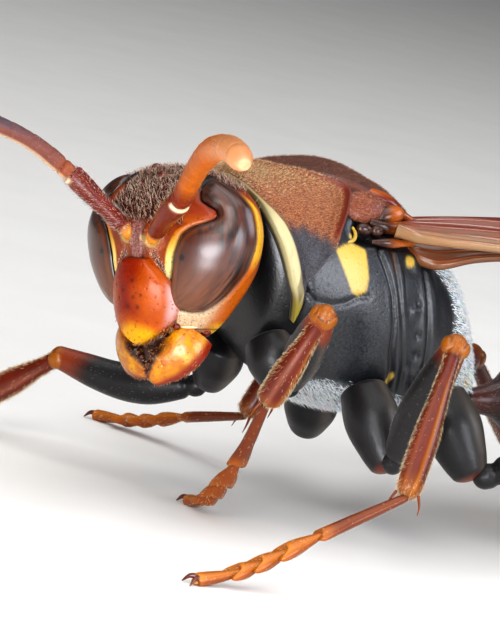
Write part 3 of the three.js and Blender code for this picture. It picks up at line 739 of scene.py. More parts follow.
    # Silky black with a narrow yellow band on each ring but the last
    ABDOMEN = Cuticle("abdomen_chitin", "141214", "1E1A1A", (
        Layer("rust", "5E2411", 0.8), Layer("yellow", "D9B638"), Layer("dark", "070607")),
        cloud_mm=1.0, grain_mm=0.06, grain_depth_mm=0.006, pit_mm=0.16, pit_depth_mm=0.004,
        roughness=0.38, gloss=0.2, sheen=0.3, sheen_colour="B9C2D2")
    # Small glossy plates from dark brown to orange, and the plain mouth behind the jaws
    SCLERITE = Cuticle("wing_root_chitin", "3A1E12", "281410", (
        Layer("rust", "6E240C"), Layer("orange", "B8601C"), Layer("yellow", "D0AC34")),
        cloud_mm=0.3, grain_mm=0.06, grain_depth_mm=0.006, roughness=0.3, gloss=0.3)
    # Smooth dark amber, the same for claws and simple eyes
    CLAW = Cuticle("claw_chitin", "5A240E", "3A160A", grain_depth_mm=0.002, roughness=0.3, gloss=0.4)
    # Soft pale skin without gloss
    PAD = Cuticle("foot_pad_skin", "C98E4A", "A86E34", grain_depth_mm=0.006, roughness=0.6, gloss=0.0)
    # Wine-dark glass with streaks and spots
    EYE = EyeLens()
    # Smoky amber film with rusty veins
    WING = WingSkin()


@cache
def built(recipe: Recipe) -> bpy.types.Material:
    """The material of a recipe, made once."""
    return recipe.make()


# Meshes


def fill_mesh(mesh: bpy.types.Mesh, vertices: Array, triangles: Array, quads: Array) -> None:
    """Write vertices in the wasp's frame, and faces, into a mesh as whole arrays.

    Args:
        mesh: an empty mesh.
        vertices: places in mm; what reaches below the floor's gap is lifted to it.
        triangles: corners of the three-sided faces.
        quads: corners of the four-sided faces.
    """
    held = np.maximum(vertices, [-np.inf, -np.inf, FLOOR_GAP])
    mesh.vertices.add(len(held))
    mesh.vertices.foreach_set("co", ((held + BASE_SHIFT) * MM).astype(np.float32).ravel())
    loops = np.concatenate([triangles.ravel(), quads.ravel()]).astype(np.int32)
    sizes = np.concatenate([np.full(len(triangles), 3), np.full(len(quads), 4)])
    starts = np.concatenate([[0], np.cumsum(sizes)[:-1]]).astype(np.int32)
    mesh.loops.add(len(loops))
    mesh.loops.foreach_set("vertex_index", loops)
    mesh.polygons.add(len(sizes))
    mesh.polygons.foreach_set("loop_start", starts)
    mesh.update(calc_edges=True)
    mesh.polygons.foreach_set("use_smooth", np.ones(len(sizes), bool))


def present(mesh: bpy.types.Mesh, recipe: Recipe, nodes: Sequence[str] = ()) -> Piece:
    """Make an object of a mesh, let it ride on the model and stand for its nodes.

    Args:
        mesh: the piece's mesh, whose name it takes.
        recipe: its finish.
        nodes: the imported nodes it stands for.

    Returns:
        The object.
    """
    piece = bpy.data.objects.new(mesh.name, mesh)
    bpy.context.scene.collection.objects.link(piece)
    mesh.materials.append(built(recipe))
    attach(piece, "root")
    if nodes:
        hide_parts(*nodes)
    LOG.info("%s: %d triangles", mesh.name, len(mesh.loops) - 2 * len(mesh.polygons))
    return piece


def put(name: str, grids: Sequence[Grid], finish: Finish, slot: str, *nodes: str) -> Piece:
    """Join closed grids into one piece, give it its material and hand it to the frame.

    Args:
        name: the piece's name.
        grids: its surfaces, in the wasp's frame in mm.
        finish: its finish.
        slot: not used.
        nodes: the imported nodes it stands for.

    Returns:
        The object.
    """
    shells = [grid.corners() for grid in grids]
    starts = np.cumsum([0] + [len(shell[0]) for shell in shells])
    vertices = np.vstack([shell[0] for shell in shells])
    triangles, quads = (np.vstack([shell[k] + start for shell, start in zip(shells, starts)]) for k in (1, 2))
    mesh = bpy.data.meshes.new(name)
    fill_mesh(mesh, vertices, triangles, quads)
    for mark in sorted({mark for grid in grids for mark in grid.marks}):
        values = np.concatenate([grid.mark_values(mark) for grid in grids]).astype(np.float32)
        mesh.attributes.new(mark, "FLOAT", "POINT").data.foreach_set("value", values)
    return present(mesh, finish.value, nodes)


# Shared measures


def pair_gap(y: Array, z: Array, line: Pairs) -> Array:
    """Distance from flat places to a line of straight pieces.

    Args:
        y: the places' first coordinate.
        z: their second.
        line: the line's corners, in order.

    Returns:
        Distances in mm, in the shape of y.
    """
    corners = np.array(line, float)
    least = np.full(np.shape(y), np.inf)
    for (ay, az), (by, bz) in zip(corners[:-1], corners[1:]):
        share = ((y - ay) * (by - ay) + (z - az) * (bz - az)) / ((by - ay) ** 2 + (bz - az) ** 2)
        share = np.clip(share, 0, 1)
        least = np.minimum(least, np.hypot(y - ay - share * (by - ay), z - az - share * (bz - az)))
    return least


def blot(y: Array, z: Array, outline: Pairs, soft: float) -> Array:
    """A patch with a given outline: 1 inside it, 0 outside, its edge soft by the given width.

    Inside is told by the outline's winding: the number of its edges that a ray from the place crosses.

    Args:
        y: the places' first coordinate.
        z: their second.
        outline: the patch's corners, in order.
        soft: the width of its edge, in mm.

    Returns:
        The patch's share at each place.
    """
    corners = np.array(outline, float)
    crossed = np.zeros(np.shape(y), bool)
    for (ay, az), (by, bz) in zip(corners, np.roll(corners, -1, axis=0)):
        spans = (az > z) != (bz > z)
        slope = (by - ay) / (bz - az if bz != az else 1e-9)
        crossed ^= spans & (y < ay + (z - az) * slope)
    gap = pair_gap(y, z, np.vstack([corners, corners[:1]]).tolist())
    return step(-soft, soft, np.where(crossed, gap, -gap))


def nearest(points: Array, line: Array) -> Array:
    """Distance from points to the nearest sample of a line, worked out a few thousand points at a time.

    Args:
        points: the places.
        line: the line's samples.

    Returns:
        Distances in mm.
    """
    flat = points.reshape(-1, 3)
    parts = [np.sqrt(((part[:, None] - line[None]) ** 2).sum(-1).min(1))
             for part in np.array_split(flat, max(1, len(flat) // 6000))]
    return np.concatenate(parts).reshape(points.shape[:-1])


def from_point(points: Array, centre: Sequence[float]) -> Array:
    """Distance from points to a place."""
    return np.linalg.norm(points - np.array(centre), axis=-1)


# Hair


ROOT_DEPTH = 0.012
TAPER = 0.45
TIP_DROP = 0.3
PATCH = 0.003
MAP_SPAN = 0.97
MAP_EDGE = 0.01


@dataclass(frozen=True)
class Coat:
    """Hairs on a grid, each a thin closed spike of three sides that bends towards its tip.

    A root's chance is the grid's area times the given weight. A hair leans from the surface's normal
    towards the lie, by 90 degrees less its lift.
    """

    count: int
    length: tuple[float, float]
    width: float
    lift: float = 45.0
    spread: float = 14.0
    swirl: float = 0.35
    bend: float = 0.25
    joints: int = 2

    def grow(self, grid: Grid, weight: Union[Array, float], lie: Sequence[float], seed: int) -> Tufts:
        """Make the hairs' points.

        Args:
            grid: the skin, in the wasp's frame.
            weight: the chance at each of its points.
            lie: the way the hairs lie, in the wasp's frame.
            seed: for the scatter.

        Returns:
            Points by hair and corner, root places on the unwrapped skin, and a tone for each hair.
        """
        rng = np.random.default_rng(SEED + seed)
        p, n = grid.points, grid.normals()
        rows, columns = p.shape[:2]
        weight = np.broadcast_to(weight, (rows, columns))
        side = np.roll(p, -1, 1)
        area = np.linalg.norm(np.cross(p[1:] - p[:-1], side[:-1] - p[:-1]), axis=-1)
        chance = (area * (weight[:-1] + weight[1:])).ravel()
        total = np.cumsum(chance)
        cell = np.searchsorted(total, rng.random(self.count) * total[-1])
        i, j = np.divmod(np.minimum(cell, len(chance) - 1), columns)
        u, v = rng.random((2, self.count, 1))
        k = (j + 1) % columns

        def between(values: Array) -> Array:
            """Blend the values at the corners of each root's cell."""
            low = values[i, j] * (1 - v) + values[i, k] * v
            return low * (1 - u) + (values[i + 1, j] * (1 - v) + values[i + 1, k] * v) * u

        root, normal = between(p), unit(between(n))
        flow = np.array(lie, float) + self.swirl * rng.normal(size=(self.count, 3))
        flow = unit(flow - normal * np.sum(flow * normal, axis=1, keepdims=True))
        lift = np.radians(np.clip(self.lift + self.spread * rng.normal(size=(self.count, 1)), 6, 88))
        size = rng.uniform(*self.length, (self.count, 1))
        out = flow * np.cos(lift) + normal * np.sin(lift)
        side_a = unit(np.cross(out, normal))
        side_b = np.cross(side_a, out)
        corners = []
        for joint in range(self.joints):
            share = joint / self.joints
            middle = root - normal * ROOT_DEPTH * (joint == 0) + out * size * share
            middle = middle + flow * size * self.bend * share ** 2
            reach = self.width * (1 - TAPER * share)
            corners += [middle + reach * (np.cos(t) * side_a + np.sin(t) * side_b) for t in loop_angles(3)]
        corners.append(root + out * size * (1 - TIP_DROP * self.bend) + flow * size * self.bend)
        place = np.stack([(j[:, None] + v)[:, 0] / columns, (i[:, None] + u)[:, 0] / rows], axis=-1)
        return {"points": np.stack(corners, axis=1), "place": place, "tone": rng.random(self.count)}


def put_coat(name: str, tufts: Sequence[Tufts], tones: tuple[str, str], kind: str = "") -> Piece:
    """Join hairs into one piece with a bake map on which each hair has a small patch at its root's place.

    Args:
        name: the piece's name.
        tufts: what Coat.grow gave for each skin.
        tones: the hex colours that the hairs lie between.
        kind: the finish's name where several coats share it.

    Returns:
        The object.
    """
    points, tone = (np.concatenate([t[key] for t in tufts]) for key in ("points", "tone"))
    share = 1 / len(tufts)
    place = np.concatenate([t["place"] * [MAP_SPAN * share, MAP_SPAN] + [MAP_EDGE + k * share, MAP_EDGE]
                            for k, t in enumerate(tufts)])
    hairs, corners = points.shape[:2]
    last = corners - 4
    faces, patch = [(2, 1, 0)], [((0.5, 0.0), (0.3, 0.3), (0.0, 0.0))]
    for a in range(last):
        b = a - 2 if a % 3 == 2 else a + 1
        k, low = a % 3, 0.3 + 0.3 * (a // 3)
        faces += [(a, b, b + 3), (a, b + 3, a + 3)]
        patch += [((k / 3, low), ((k + 1) / 3, low), ((k + 1) / 3, low + 0.3)),
                  ((k / 3, low), ((k + 1) / 3, low + 0.3), (k / 3, low + 0.3))]
    for k in range(3):
        faces.append((last + k, last + (k + 1) % 3, corners - 1))
        patch.append(((k / 3, 0.7), ((k + 1) / 3, 0.7), (k / 3 + 1 / 6, 1.0)))
    triangles = (np.array(faces)[None] + corners * np.arange(hairs)[:, None, None]).reshape(-1, 3)
    mesh = bpy.data.meshes.new(name)
    fill_mesh(mesh, points.reshape(-1, 3), triangles, np.zeros((0, 4), int))
    spots = place[:, None, None] + PATCH * np.array(patch)[None]
    mesh.uv_layers.new(name="OFBake").data.foreach_set("uv", spots.astype(np.float32).ravel())
    tones_each = np.repeat(tone, corners).astype(np.float32)
    mesh.attributes.new("tone", "FLOAT", "POINT").data.foreach_set("value", tones_each)
    return present(mesh, HairFinish(kind or name, *tones))


def dress(name: str, coat: Coat, skins: Sequence[tuple[Grid, Array]], lie: Sequence[float], seed: int,
          tones: tuple[str, str]) -> Piece:
    """Grow one kind of coat on its skins and join it into a piece.

    Args:
        name: the piece's name.
        coat: the kind of hairs.
        skins: each grid in the wasp's frame, with the chance at its points.
        lie: the way the hairs lie.
        seed: for the first skin's scatter, one more for each next skin.
        tones: the hex colours that the hairs lie between.

    Returns:
        The object.
    """
    tufts = [coat.grow(grid, weight, lie, seed + k) for k, (grid, weight) in enumerate(skins)]
    return put_coat(name, tufts, tones)


# Head


@dataclass(frozen=True)
class Skull:
    """The head's shell: at height z, the point of turn a is (half sin a, -depth cos a, z)."""

    foot: float = -1.92
    crown: float = 1.9
    half: Pairs = ((-1.92, 0.4), (-1.8, 0.92), (-1.5, 1.3), (-1.1, 1.62), (-0.7, 1.9), (-0.2, 2.13),
                   (0.4, 2.22), (1, 2.08), (1.4, 1.75), (1.7, 1.2), (1.85, 0.6), (1.9, 0.1))
    front: Pairs = ((-1.92, 0.5), (-1.8, 0.92), (-1.4, 1.16), (-0.7, 1.3), (-0.2, 1.36), (0.4, 1.4),
                    (0.9, 1.32), (1.3, 1.1), (1.6, 0.8), (1.8, 0.45), (1.9, 0.1))
    back: Pairs = ((-1.92, 0.1), (-1.8, 0.3), (-1.4, 0.55), (-0.7, 0.85), (0, 1.05), (0.8, 1.05),
                   (1.4, 0.75), (1.7, 0.45), (1.9, 0.1))

    def point(self, z: Array, turn: Array) -> Array:
        """The shell's points at heights and turns in radians.

        Args:
            z: heights.
            turn: turns.

        Returns:
            The points.
        """
        depth = np.where(np.cos(turn) > 0, keyed(self.front, z), keyed(self.back, z))
        across = keyed(self.half, z) * np.sin(turn)
        return np.stack(np.broadcast_arrays(across, -depth * np.cos(turn), z), axis=-1)

    def normal(self, z: Array, turn: Array) -> Array:
        """The shell's outward directions: the cross product of its steps in turn and height.

        Args:
            z: heights.
            turn: turns in radians.

        Returns:
            Unit vectors.
        """
        small = 0.01
        around = self.point(z, turn + small) - self.point(z, turn - small)
        above = self.point(z + small, turn) - self.point(z - small, turn)
        return unit(np.cross(around, above))


@dataclass(frozen=True)
class EyeLine:
    """Where the eye's edge lies on the skull: its inner and outer turn in degrees at each height."""

    foot: float = -1.25
    crown: float = 1.62
    inner: Pairs = ((-1.25, 48), (-1.2, 36), (-1.08, 29.5), (-0.72, 25), (-0.2, 25), (0.36, 29),
                    (0.58, 36), (0.68, 44), (0.79, 52), (0.89, 54.5), (0.99, 53.5), (1.1, 47), (1.22, 42),
                    (1.4, 43), (1.54, 50), (1.62, 60))
    outer: Pairs = ((-1.25, 50), (-1.21, 60), (-1.08, 67), (-0.75, 75.5), (-0.2, 84), (0.4, 88), (0.9, 88),
                    (1.2, 84), (1.4, 78), (1.54, 70), (1.62, 62))

    def line(self, skull: Skull) -> Array:
        """Samples of the whole edge on the skull, about 0.02 mm apart.

        Args:
            skull: the shell it lies on.

        Returns:
            The samples, by row.
        """
        z = self.foot + (self.crown - self.foot) * lathe_rows(240)
        inner = skull.point(z, np.radians(keyed(self.inner, z)))
        outer = skull.point(z, np.radians(keyed(self.outer, z)))
        line = np.vstack([inner, outer[::-1], inner[:1]])
        middles = (line[1:] + line[:-1]) / 2
        return np.vstack([line, middles])

    def inside(self, z: Array, degrees: Array) -> Array:
        """Whether places on the skull lie inside the eye.

        Args:
            z: heights.
            degrees: turns.

        Returns:
            Yes or no for each.
        """
        held = np.clip(z, self.foot, self.crown)
        between = (degrees > keyed(self.inner, held)) & (degrees < keyed(self.outer, held))
        return between & (z > self.foot) & (z < self.crown)


@dataclass
class Head:
    """Skull, eyes and simple eyes, in the head's own turned frame."""

    skull: Skull = field(default_factory=Skull)
    eye: EyeLine = field(default_factory=EyeLine)
    rows: int = 200
    columns: int = 330
    lens_rise: float = 0.19
    lens_shoulder: float = 0.8
    sockets: Sequence[Triple] = ((0.38, -1.317, 0.33), (-0.311, -1.356, 0.403))
    ocelli: Pairs = ((1.68, 0.0), (1.82, 52.0), (1.82, -52.0))
    ocellus: float = 0.13
    plate_half: tuple[float, float] = (0.17, 0.42)
    plate_middle: float = 0.24
    seam: Pairs = ((0.42, -0.05), (0.62, -0.35), (0.82, -0.7), (0.97, -1.15))
    nape: Triple = (1.09, -0.57, 1.6)
    lens_spots: tuple[Triple, Triple] = ((1.17, -1.25, -0.07), (1.89, -0.92, 0.58))

    def shell(self) -> Grid:
        """The skull's skin with its grooves, rims and colour marks.

        Heights are sums of bells over the distance to the eye's edge, the feeler sockets, the plate
        between them and the seams; marks are windows over height, turn and those distances.

        Returns:
            The grid in the head's frame.
        """
        z = self.skull.foot + (self.skull.crown - self.skull.foot) * lathe_rows(self.rows)[:, None]
        lane = loop_angles(self.columns)[None]
        turn = lane - 0.4 * np.sin(lane)
        turn = np.where(turn > np.pi, turn - 2 * np.pi, turn)
        grid = Grid(self.skull.point(z, turn))
        p = grid.points
        z = p[..., 2]
        degrees = np.degrees(np.abs(turn))
        side = np.abs(p[..., 0])
        folded = np.stack([side, p[..., 1], z], axis=-1)
        edge = nearest(folded, self.eye.line(self.skull))
        gap = np.where(self.eye.inside(z, degrees), -edge, edge)
        socket = np.minimum(*(from_point(p, centre) for centre in self.sockets))
        ahead = step(100, 70, degrees)
        plate = ((side / self.plate_half[0]) ** 3
                 + (np.abs(z - self.plate_middle) / self.plate_half[1]) ** 3) ** (1 / 3)
        plate_in = step(1.2, 0.85, plate) * ahead
        seam = pair_gap(side, z, self.seam)
        crown_line = bell(p[..., 0], 0.035) * step(0.75, 1.0, z) * ahead
        height = -0.2 * step(0.0, -0.16, gap) - 0.045 * bell(gap, 0.035) + 0.015 * bell(gap - 0.13, 0.07)
        height += -0.12 * bell(socket, 0.14) + 0.045 * bell(socket - 0.24, 0.05)
        height += 0.1 * plate_in - 0.035 * bell(seam, 0.05) * ahead - 0.02 * crown_line
        height += 0.05 * bell(side - 0.72, 0.3) * bell(z - 0.85, 0.4) * ahead
        shaped = grid.raised(height)
        level = np.clip(z, self.eye.foot, self.eye.crown)
        behind, before = degrees - keyed(self.eye.outer, level), keyed(self.eye.inner, level) - degrees
        out = step(-0.02, 0.02, gap)
        wide = keyed(((-0.9, 0.06), (-0.4, 0.17), (0.1, 0.2), (0.5, 0.17), (0.8, 0.08)), z)
        orbit = step(wide + 0.03, wide - 0.03, gap) * out * step(-4, 0, before) * window(z, -0.8, 0.66, 0.14)
        band_wide = keyed(((-0.5, 4), (0.0, 17), (0.5, 22), (0.95, 13), (1.25, 5), (1.4, 2)), z)
        band = step(band_wide + 3, band_wide - 3, behind) * step(0, 1, behind) * out
        band *= window(z, -0.45, 1.32, 0.2)
        # The pale cheek below the eye is partly a pale bloom and partly a painted reflection of the light.
        cheek = step(-0.1, -0.5, z) * step(0.85, 0.5, gap) * step(26, 36, degrees) * step(86, 68, degrees)
        foot = step(-1.4, -1.6, z) * step(70, 86, degrees) * step(150, 110, degrees)
        notch = step(0.55, 0.75, z) * step(1.25, 1.1, z) * step(27, 33, degrees) * ahead
        brow = step(0.5, 0.78, z) * step(33, 25, degrees) * ahead
        rear = step(0.1, 0.6, z) * step(112, 124, degrees)
        velvet = np.maximum(np.maximum(brow, step(1.32, 1.5, z) * (1 - band)), rear)
        nape = step(0.36, 0.2, from_point(folded, self.nape))
        jowl = step(-0.1, -0.6, z) * step(60, 84, degrees) * step(128, 104, degrees)
        # A cream crescent below each feeler socket is a painted glint.
        painted_socket_glint = window(socket, 0.15, 0.24, 0.03) * step(0.42, 0.3, z)
        hollow = step(110, 124, degrees) * step(0.15, -0.05, z)
        hem = bell(z + 1.64, 0.02) * step(44, 54, degrees) * step(112, 100, degrees)
        lower = step(0.35, -0.3, z)
        shaped.marks = {
            "velvet": velvet * (1 - notch),
            "ember": np.maximum(notch, 0.4 * step(0.3, 0.6, z)) * (1 - velvet),
            "orange": np.clip(orbit * step(-0.1, 0.5, z) + band * step(0.1, -0.3, z) + 0.85 * jowl
                              + 0.7 * notch * step(0.95, 0.65, z), 0, 1) * out,
            "plum": plate_in * step(0.8, 0.5, z),
            "yellow": np.clip(orbit * step(0.65, 0.1, z) + band * step(-0.35, 0.05, z) + foot, 0, 1) * out,
            "cream": np.clip(orbit * lower * 0.8 + 0.45 * painted_socket_glint, 0, 1) * out,
            "pale": np.clip(cheek * (1 - foot), 0, 1) * out,
            "down": out * np.clip(bell(seam - 0.07, 0.05) * ahead
                                  + bell(socket - 0.28, 0.06) * step(0.3, 0.1, z), 0, 1),
            "dark": np.clip(bell(gap, 0.05) + 0.75 * bell(socket, 0.1)
                            + 0.8 * bell(seam, 0.04) * ahead + 0.5 * crown_line + 0.8 * hollow
                            + 0.75 * bell(plate - 1.12, 0.1) * ahead * step(0.8, 0.5, z) + 0.9 * nape
                            + 0.8 * hem, 0, 1),
            "hairy": velvet * out * step(126, 100, degrees) * (1 - nape),
            "seam": bell(seam, 0.06) * ahead * out,
        }
        return shaped

    def lens(self) -> Grid:
        """The left eye's dome: rise times the root of 1 - (1 - gap / shoulder) squared over the skull.

        Returns:
            The grid in the head's frame, its loops over the dome and back under it.
        """
        rows, across, under = 160, 118, 16
        z = self.eye.foot + (self.eye.crown - self.eye.foot) * lathe_rows(rows)[:, None]
        share = np.concatenate([lathe_rows(across), lathe_rows(under)[::-1]])[None]
        inner, outer = keyed(self.eye.inner, z), keyed(self.eye.outer, z)
        degrees = inner + (outer - inner) * share
        base = self.skull.point(z, np.radians(degrees))
        normal = self.skull.normal(z, np.radians(degrees))
        gap = nearest(base, self.eye.line(self.skull))
        dome = self.lens_rise * np.sqrt(1 - (1 - np.clip(gap / self.lens_shoulder, 0, 1)) ** 2) - 0.015
        top = np.arange(across + under)[None] < across
        height = np.where(top, dome, -0.13 * step(0, 0.12, gap) - 0.015)
        grid = Grid(base + normal * height[..., None])
        upper = step(-0.15, 0.45, z + 0.9 * (share - 0.5))
        grid.marks = {
            "lane": (outer - degrees) / 19,
            "level": 0.3 * z,
            "streaked": np.clip(step(0.02, 0.1, gap)
                                * np.maximum(upper, 0.9 * step(0.5, 0.8, share) + 0.25), 0, 1),
            "warm": np.clip(0.8 * step(0.1, -0.9, z) + 0.5 * bell(gap - 0.1, 0.05), 0, 1),
            "spots": np.clip(step(0.085, 0.06, from_point(grid.points, self.lens_spots[0]))
                             + step(0.1, 0.06, from_point(grid.points, self.lens_spots[1]))
                             + 0.8 * step(0.05, 0.015, gap) + 0.35 * bell(gap - 0.18, 0.012), 0, 1),
        }
        return grid

    def simple_eyes(self) -> list[Grid]:
        """Three glassy beads on the crown."""
        centres = [self.skull.point(np.array(z), np.radians(a)) for z, a in self.ocelli]
        return [ball(c - np.array([0, 0, 0.03]), (self.ocellus,) * 3, 16, 24) for c in centres]

    def build(self) -> list[Piece]:
        """Make the head's pieces.

        Returns:
            The objects.
        """
        shell, lens = self.shell().placed(HEAD), self.lens()
        crown = Coat(2500, (0.06, 0.17), 0.005, lift=54, spread=20)
        fine = Coat(420, (0.03, 0.06), 0.0045, lift=35, joints=1)
        return [
            put("skull", [shell], Finish.FACE, "head_shell", "head"),
            put("eye_lens_left", [lens.placed(HEAD)], Finish.EYE, "eye_lens", "eye_left"),
            put("eye_lens_right", [lens.mirrored().placed(HEAD)], Finish.EYE, "eye_lens", "eye_right"),
            put("simple_eyes", [bead.placed(HEAD) for bead in self.simple_eyes()], Finish.CLAW, "eye_lens"),
            dress("crown_hair", crown, [(shell, shell.marks["hairy"])], HEAD.way(0.1, -0.5, 0.9), 1,
                  ("5A2A18", "E6C6B0")),
            dress("face_down", fine, [(shell, shell.marks["seam"])], HEAD.way(0, -0.1, -1.0), 2,
                  ("C9A48C", "FFF4E4")),
        ]


@dataclass
class Face:
    """The face shield, the jaws with their teeth, and the dark mouth between them.

    A pit is x, z and size. Teeth are shares of a jaw's length.
    """

    top: float = -0.15
    foot: float = -2.06
    half: Pairs = ((-2.06, 0.06), (-1.9, 0.34), (-1.7, 0.62), (-1.5, 0.82), (-1.1, 0.92), (-0.7, 0.86),
                   (-0.45, 0.66), (-0.25, 0.46), (-0.15, 0.34))
    front: Pairs = ((-2.06, 1.17), (-1.6, 1.36), (-1.2, 1.47), (-0.7, 1.53), (-0.15, 1.47))
    hollow: float = 0.56
    thick: float = 0.36
    jaw_left: Sequence[Triple] = ((0.98, -0.4, -1.72), (0.9, -0.62, -2.04), (0.58, -0.84, -2.44),
                                  (0.24, -1.0, -2.86))
    jaw_right: Sequence[Triple] = ((-0.97, -0.4, -1.68), (-0.93, -0.58, -2.02), (-0.54, -0.76, -2.42),
                                   (-0.02, -0.76, -2.72))
    jaw_wide: Pairs = ((0, 0.42), (0.25, 0.47), (0.6, 0.43), (0.85, 0.27), (1, 0.12))
    jaw_flat: float = 0.5
    teeth: Sequence[float] = (0.68, 0.8, 0.91)
    pits: Sequence[Triple] = ((0.1, -0.62, 0.05), (-0.15, -0.85, 0.06), (0.12, -1.0, 0.04),
                              (-0.05, -1.2, 0.06), (0.3, -0.95, 0.035), (-0.4, -0.75, 0.05),
                              (0.22, -1.22, 0.05), (-0.3, -1.05, 0.045))

    def shield(self) -> Grid:
        """The face shield: y = -front - 0.06 - 0.07 (1 - across to the sixth) + hollow x squared.

        Its loops run over the outer face and back over the inner one, which lies deeper by the
        thickness; the rim is a soft shoulder.

        Returns:
            The grid in the head's frame.
        """
        rows, over, under = 160, 150, 30
        z = self.foot + (self.top - self.foot) * lathe_rows(rows)[:, None]
        across = np.concatenate([np.linspace(-1, 1, over), np.linspace(1, -1, under + 2)[1:-1]])[None]
        outer = np.arange(over + under)[None] < over
        half = keyed(self.half, z)
        x = half * across
        rim = np.minimum(half * (1 - np.abs(across)), np.minimum(z - self.foot, self.top - z) * 1.2)
        shoulder = 0.1 * (1 - np.sqrt(1 - (1 - np.clip(rim / 0.14, 0, 1)) ** 2))
        depth = keyed(self.front, z) + 0.06 + 0.07 * (1 - across ** 6) - self.hollow * x ** 2
        lip = 0.03 * bell(rim - 0.09, 0.05) * step(-1.5, -1.8, z)
        y = np.where(outer, -depth + shoulder - lip, -depth + self.thick)
        grid = Grid(np.stack(np.broadcast_arrays(x, y, z), axis=-1))
        x, z = grid.points[..., 0], grid.points[..., 2]
        dots = np.max([bell(np.hypot(x - cx, z - cz), size) for cx, cz, size in self.pits], axis=0)
        grid = grid.raised(-0.012 * dots * outer)
        grid.marks = {
            "ember": step(0.62, 0.1, np.abs(x + 0.12) + 0.1 * np.sin(5 * z)) * step(-1.62, -1.2, z),
            "yellow": step(-1.46, -1.76, z + 0.2 * np.abs(x)) * step(0.58, 0.34, np.abs(x - 0.06)),
            # The pale grey along both side edges of the shield's upper part is a painted reflection.
            "pale": 0.7 * window(np.abs(x) / keyed(self.half, z), 0.88, 1.0, 0.1)
            * window(z, -1.5, -0.75, 0.25),
            "dark": np.clip(0.7 * dots + 0.65 * bell(rim, 0.02) * step(-1.4, -1.6, z), 0, 1),
            "rim": bell(rim - 0.02, 0.04) * outer * step(-1.25, -1.5, z),
        }
        return grid

    def jaw(self, hand: int) -> Grid:
        """One jaw: a flat bent limb with a hooked tip, three teeth on its inner edge, pits and red edges.

        Args:
            hand: 1 for the left jaw, -1 for the right.

        Returns:
            The grid in the head's frame, with marks.
        """
        path = Path(self.jaw_left if hand > 0 else self.jaw_right)
        grid = limb(path, self.jaw_wide, 116, 120, self.jaw_flat, (hand, -0.75, 0.2), 0.45)
        along = grid.marks["along"]
        edge = np.cos(2 * np.pi * grid.marks["turn"])
        nearer = (grid.points - path.at(along))[..., 0] * hand < 0
        inner, outer = np.where(nearer, np.abs(edge), 0), np.where(nearer, 0, np.abs(edge))
        teeth = sum(bell(along - place, 0.045) for place in self.teeth)
        shaped = grid.raised(0.09 * teeth * inner ** 4)
        shaped.marks = {
            "ember": step(0.32, 0.78, outer),
            "dark": np.clip(step(0.5, 0.85, inner) * step(0.3, 0.6, along)
                            + 0.5 * step(0.95, 1.0, along), 0, 1),
            "pale": bell(along - 0.36, 0.06) * step(0.7, 0.3, np.abs(edge)) * 0.45,
            "fringe": step(0.75, 0.95, outer) * step(0.25, 0.35, along),
            "gape": step(0.6, 0.9, inner) * step(0.3, 0.45, along),
        }
        return shaped

    def hinges(self) -> list[Grid]:
        """The two knobs that each jaw turns on and the pale skin between them.

        Returns:
            The grids in the head's frame.
        """
        grids = []
        for hand in (1, -1):
            knob = ball((hand * 1.0, -0.16, -1.72), (0.12, 0.14, 0.1))
            front = ball((hand * 0.76, -0.86, -1.6), (0.09, 0.07, 0.08))
            skin = ball((hand * 0.92, -0.5, -1.6), (0.14, 0.36, 0.045))
            skin.marks = {"pale": 1.0}
            grids += [knob, front, skin]
        return grids

    def build(self) -> list[Piece]:
        """Make the face's pieces.

        Returns:
            The objects.
        """
        shield = self.shield().placed(HEAD)
        jaws = {hand: self.jaw(hand).placed(HEAD) for hand in (1, -1)}
        lip = ball((0, -0.8, -1.82), (0.52, 0.32, 0.3)).placed(HEAD)
        tongue = ball((-0.02, -0.7, -2.24), (0.56, 0.2, 0.52)).placed(HEAD)
        hinges = [grid.placed(HEAD) for grid in self.hinges()]
        bristle = Coat(150, (0.06, 0.12), 0.008, lift=30, spread=10, swirl=0.25)
        short = Coat(110, (0.04, 0.08), 0.007, lift=40, spread=14)
        down = HEAD.way(0, -0.25, -1.0)
        tufts = [bristle.grow(shield, shield.marks["rim"], down, 3)]
        for hand, jaw in jaws.items():
            tufts.append(short.grow(jaw, jaw.marks["fringe"], down, 4 + hand))
            tufts.append(short.grow(jaw, 0.2 * jaw.marks["gape"], down, 7 + hand))
        return [
            put("face_shield", [shield], Finish.SHIELD, "face_shield", "clypeus"),
            put("jaw_left", [jaws[1]], Finish.JAW, "jaw_shell", "mandible_left"),
            put("jaw_right", [jaws[-1]], Finish.JAW, "jaw_shell", "mandible_right"),
            put("mouth", [lip, tongue], Finish.SCLERITE, "jaw_shell"),
            put("jaw_hinges", hinges, Finish.SCAPE, "jaw_shell"),
            put_coat("mouth_bristles", tufts, ("3A160B", "C98A52")),
        ]


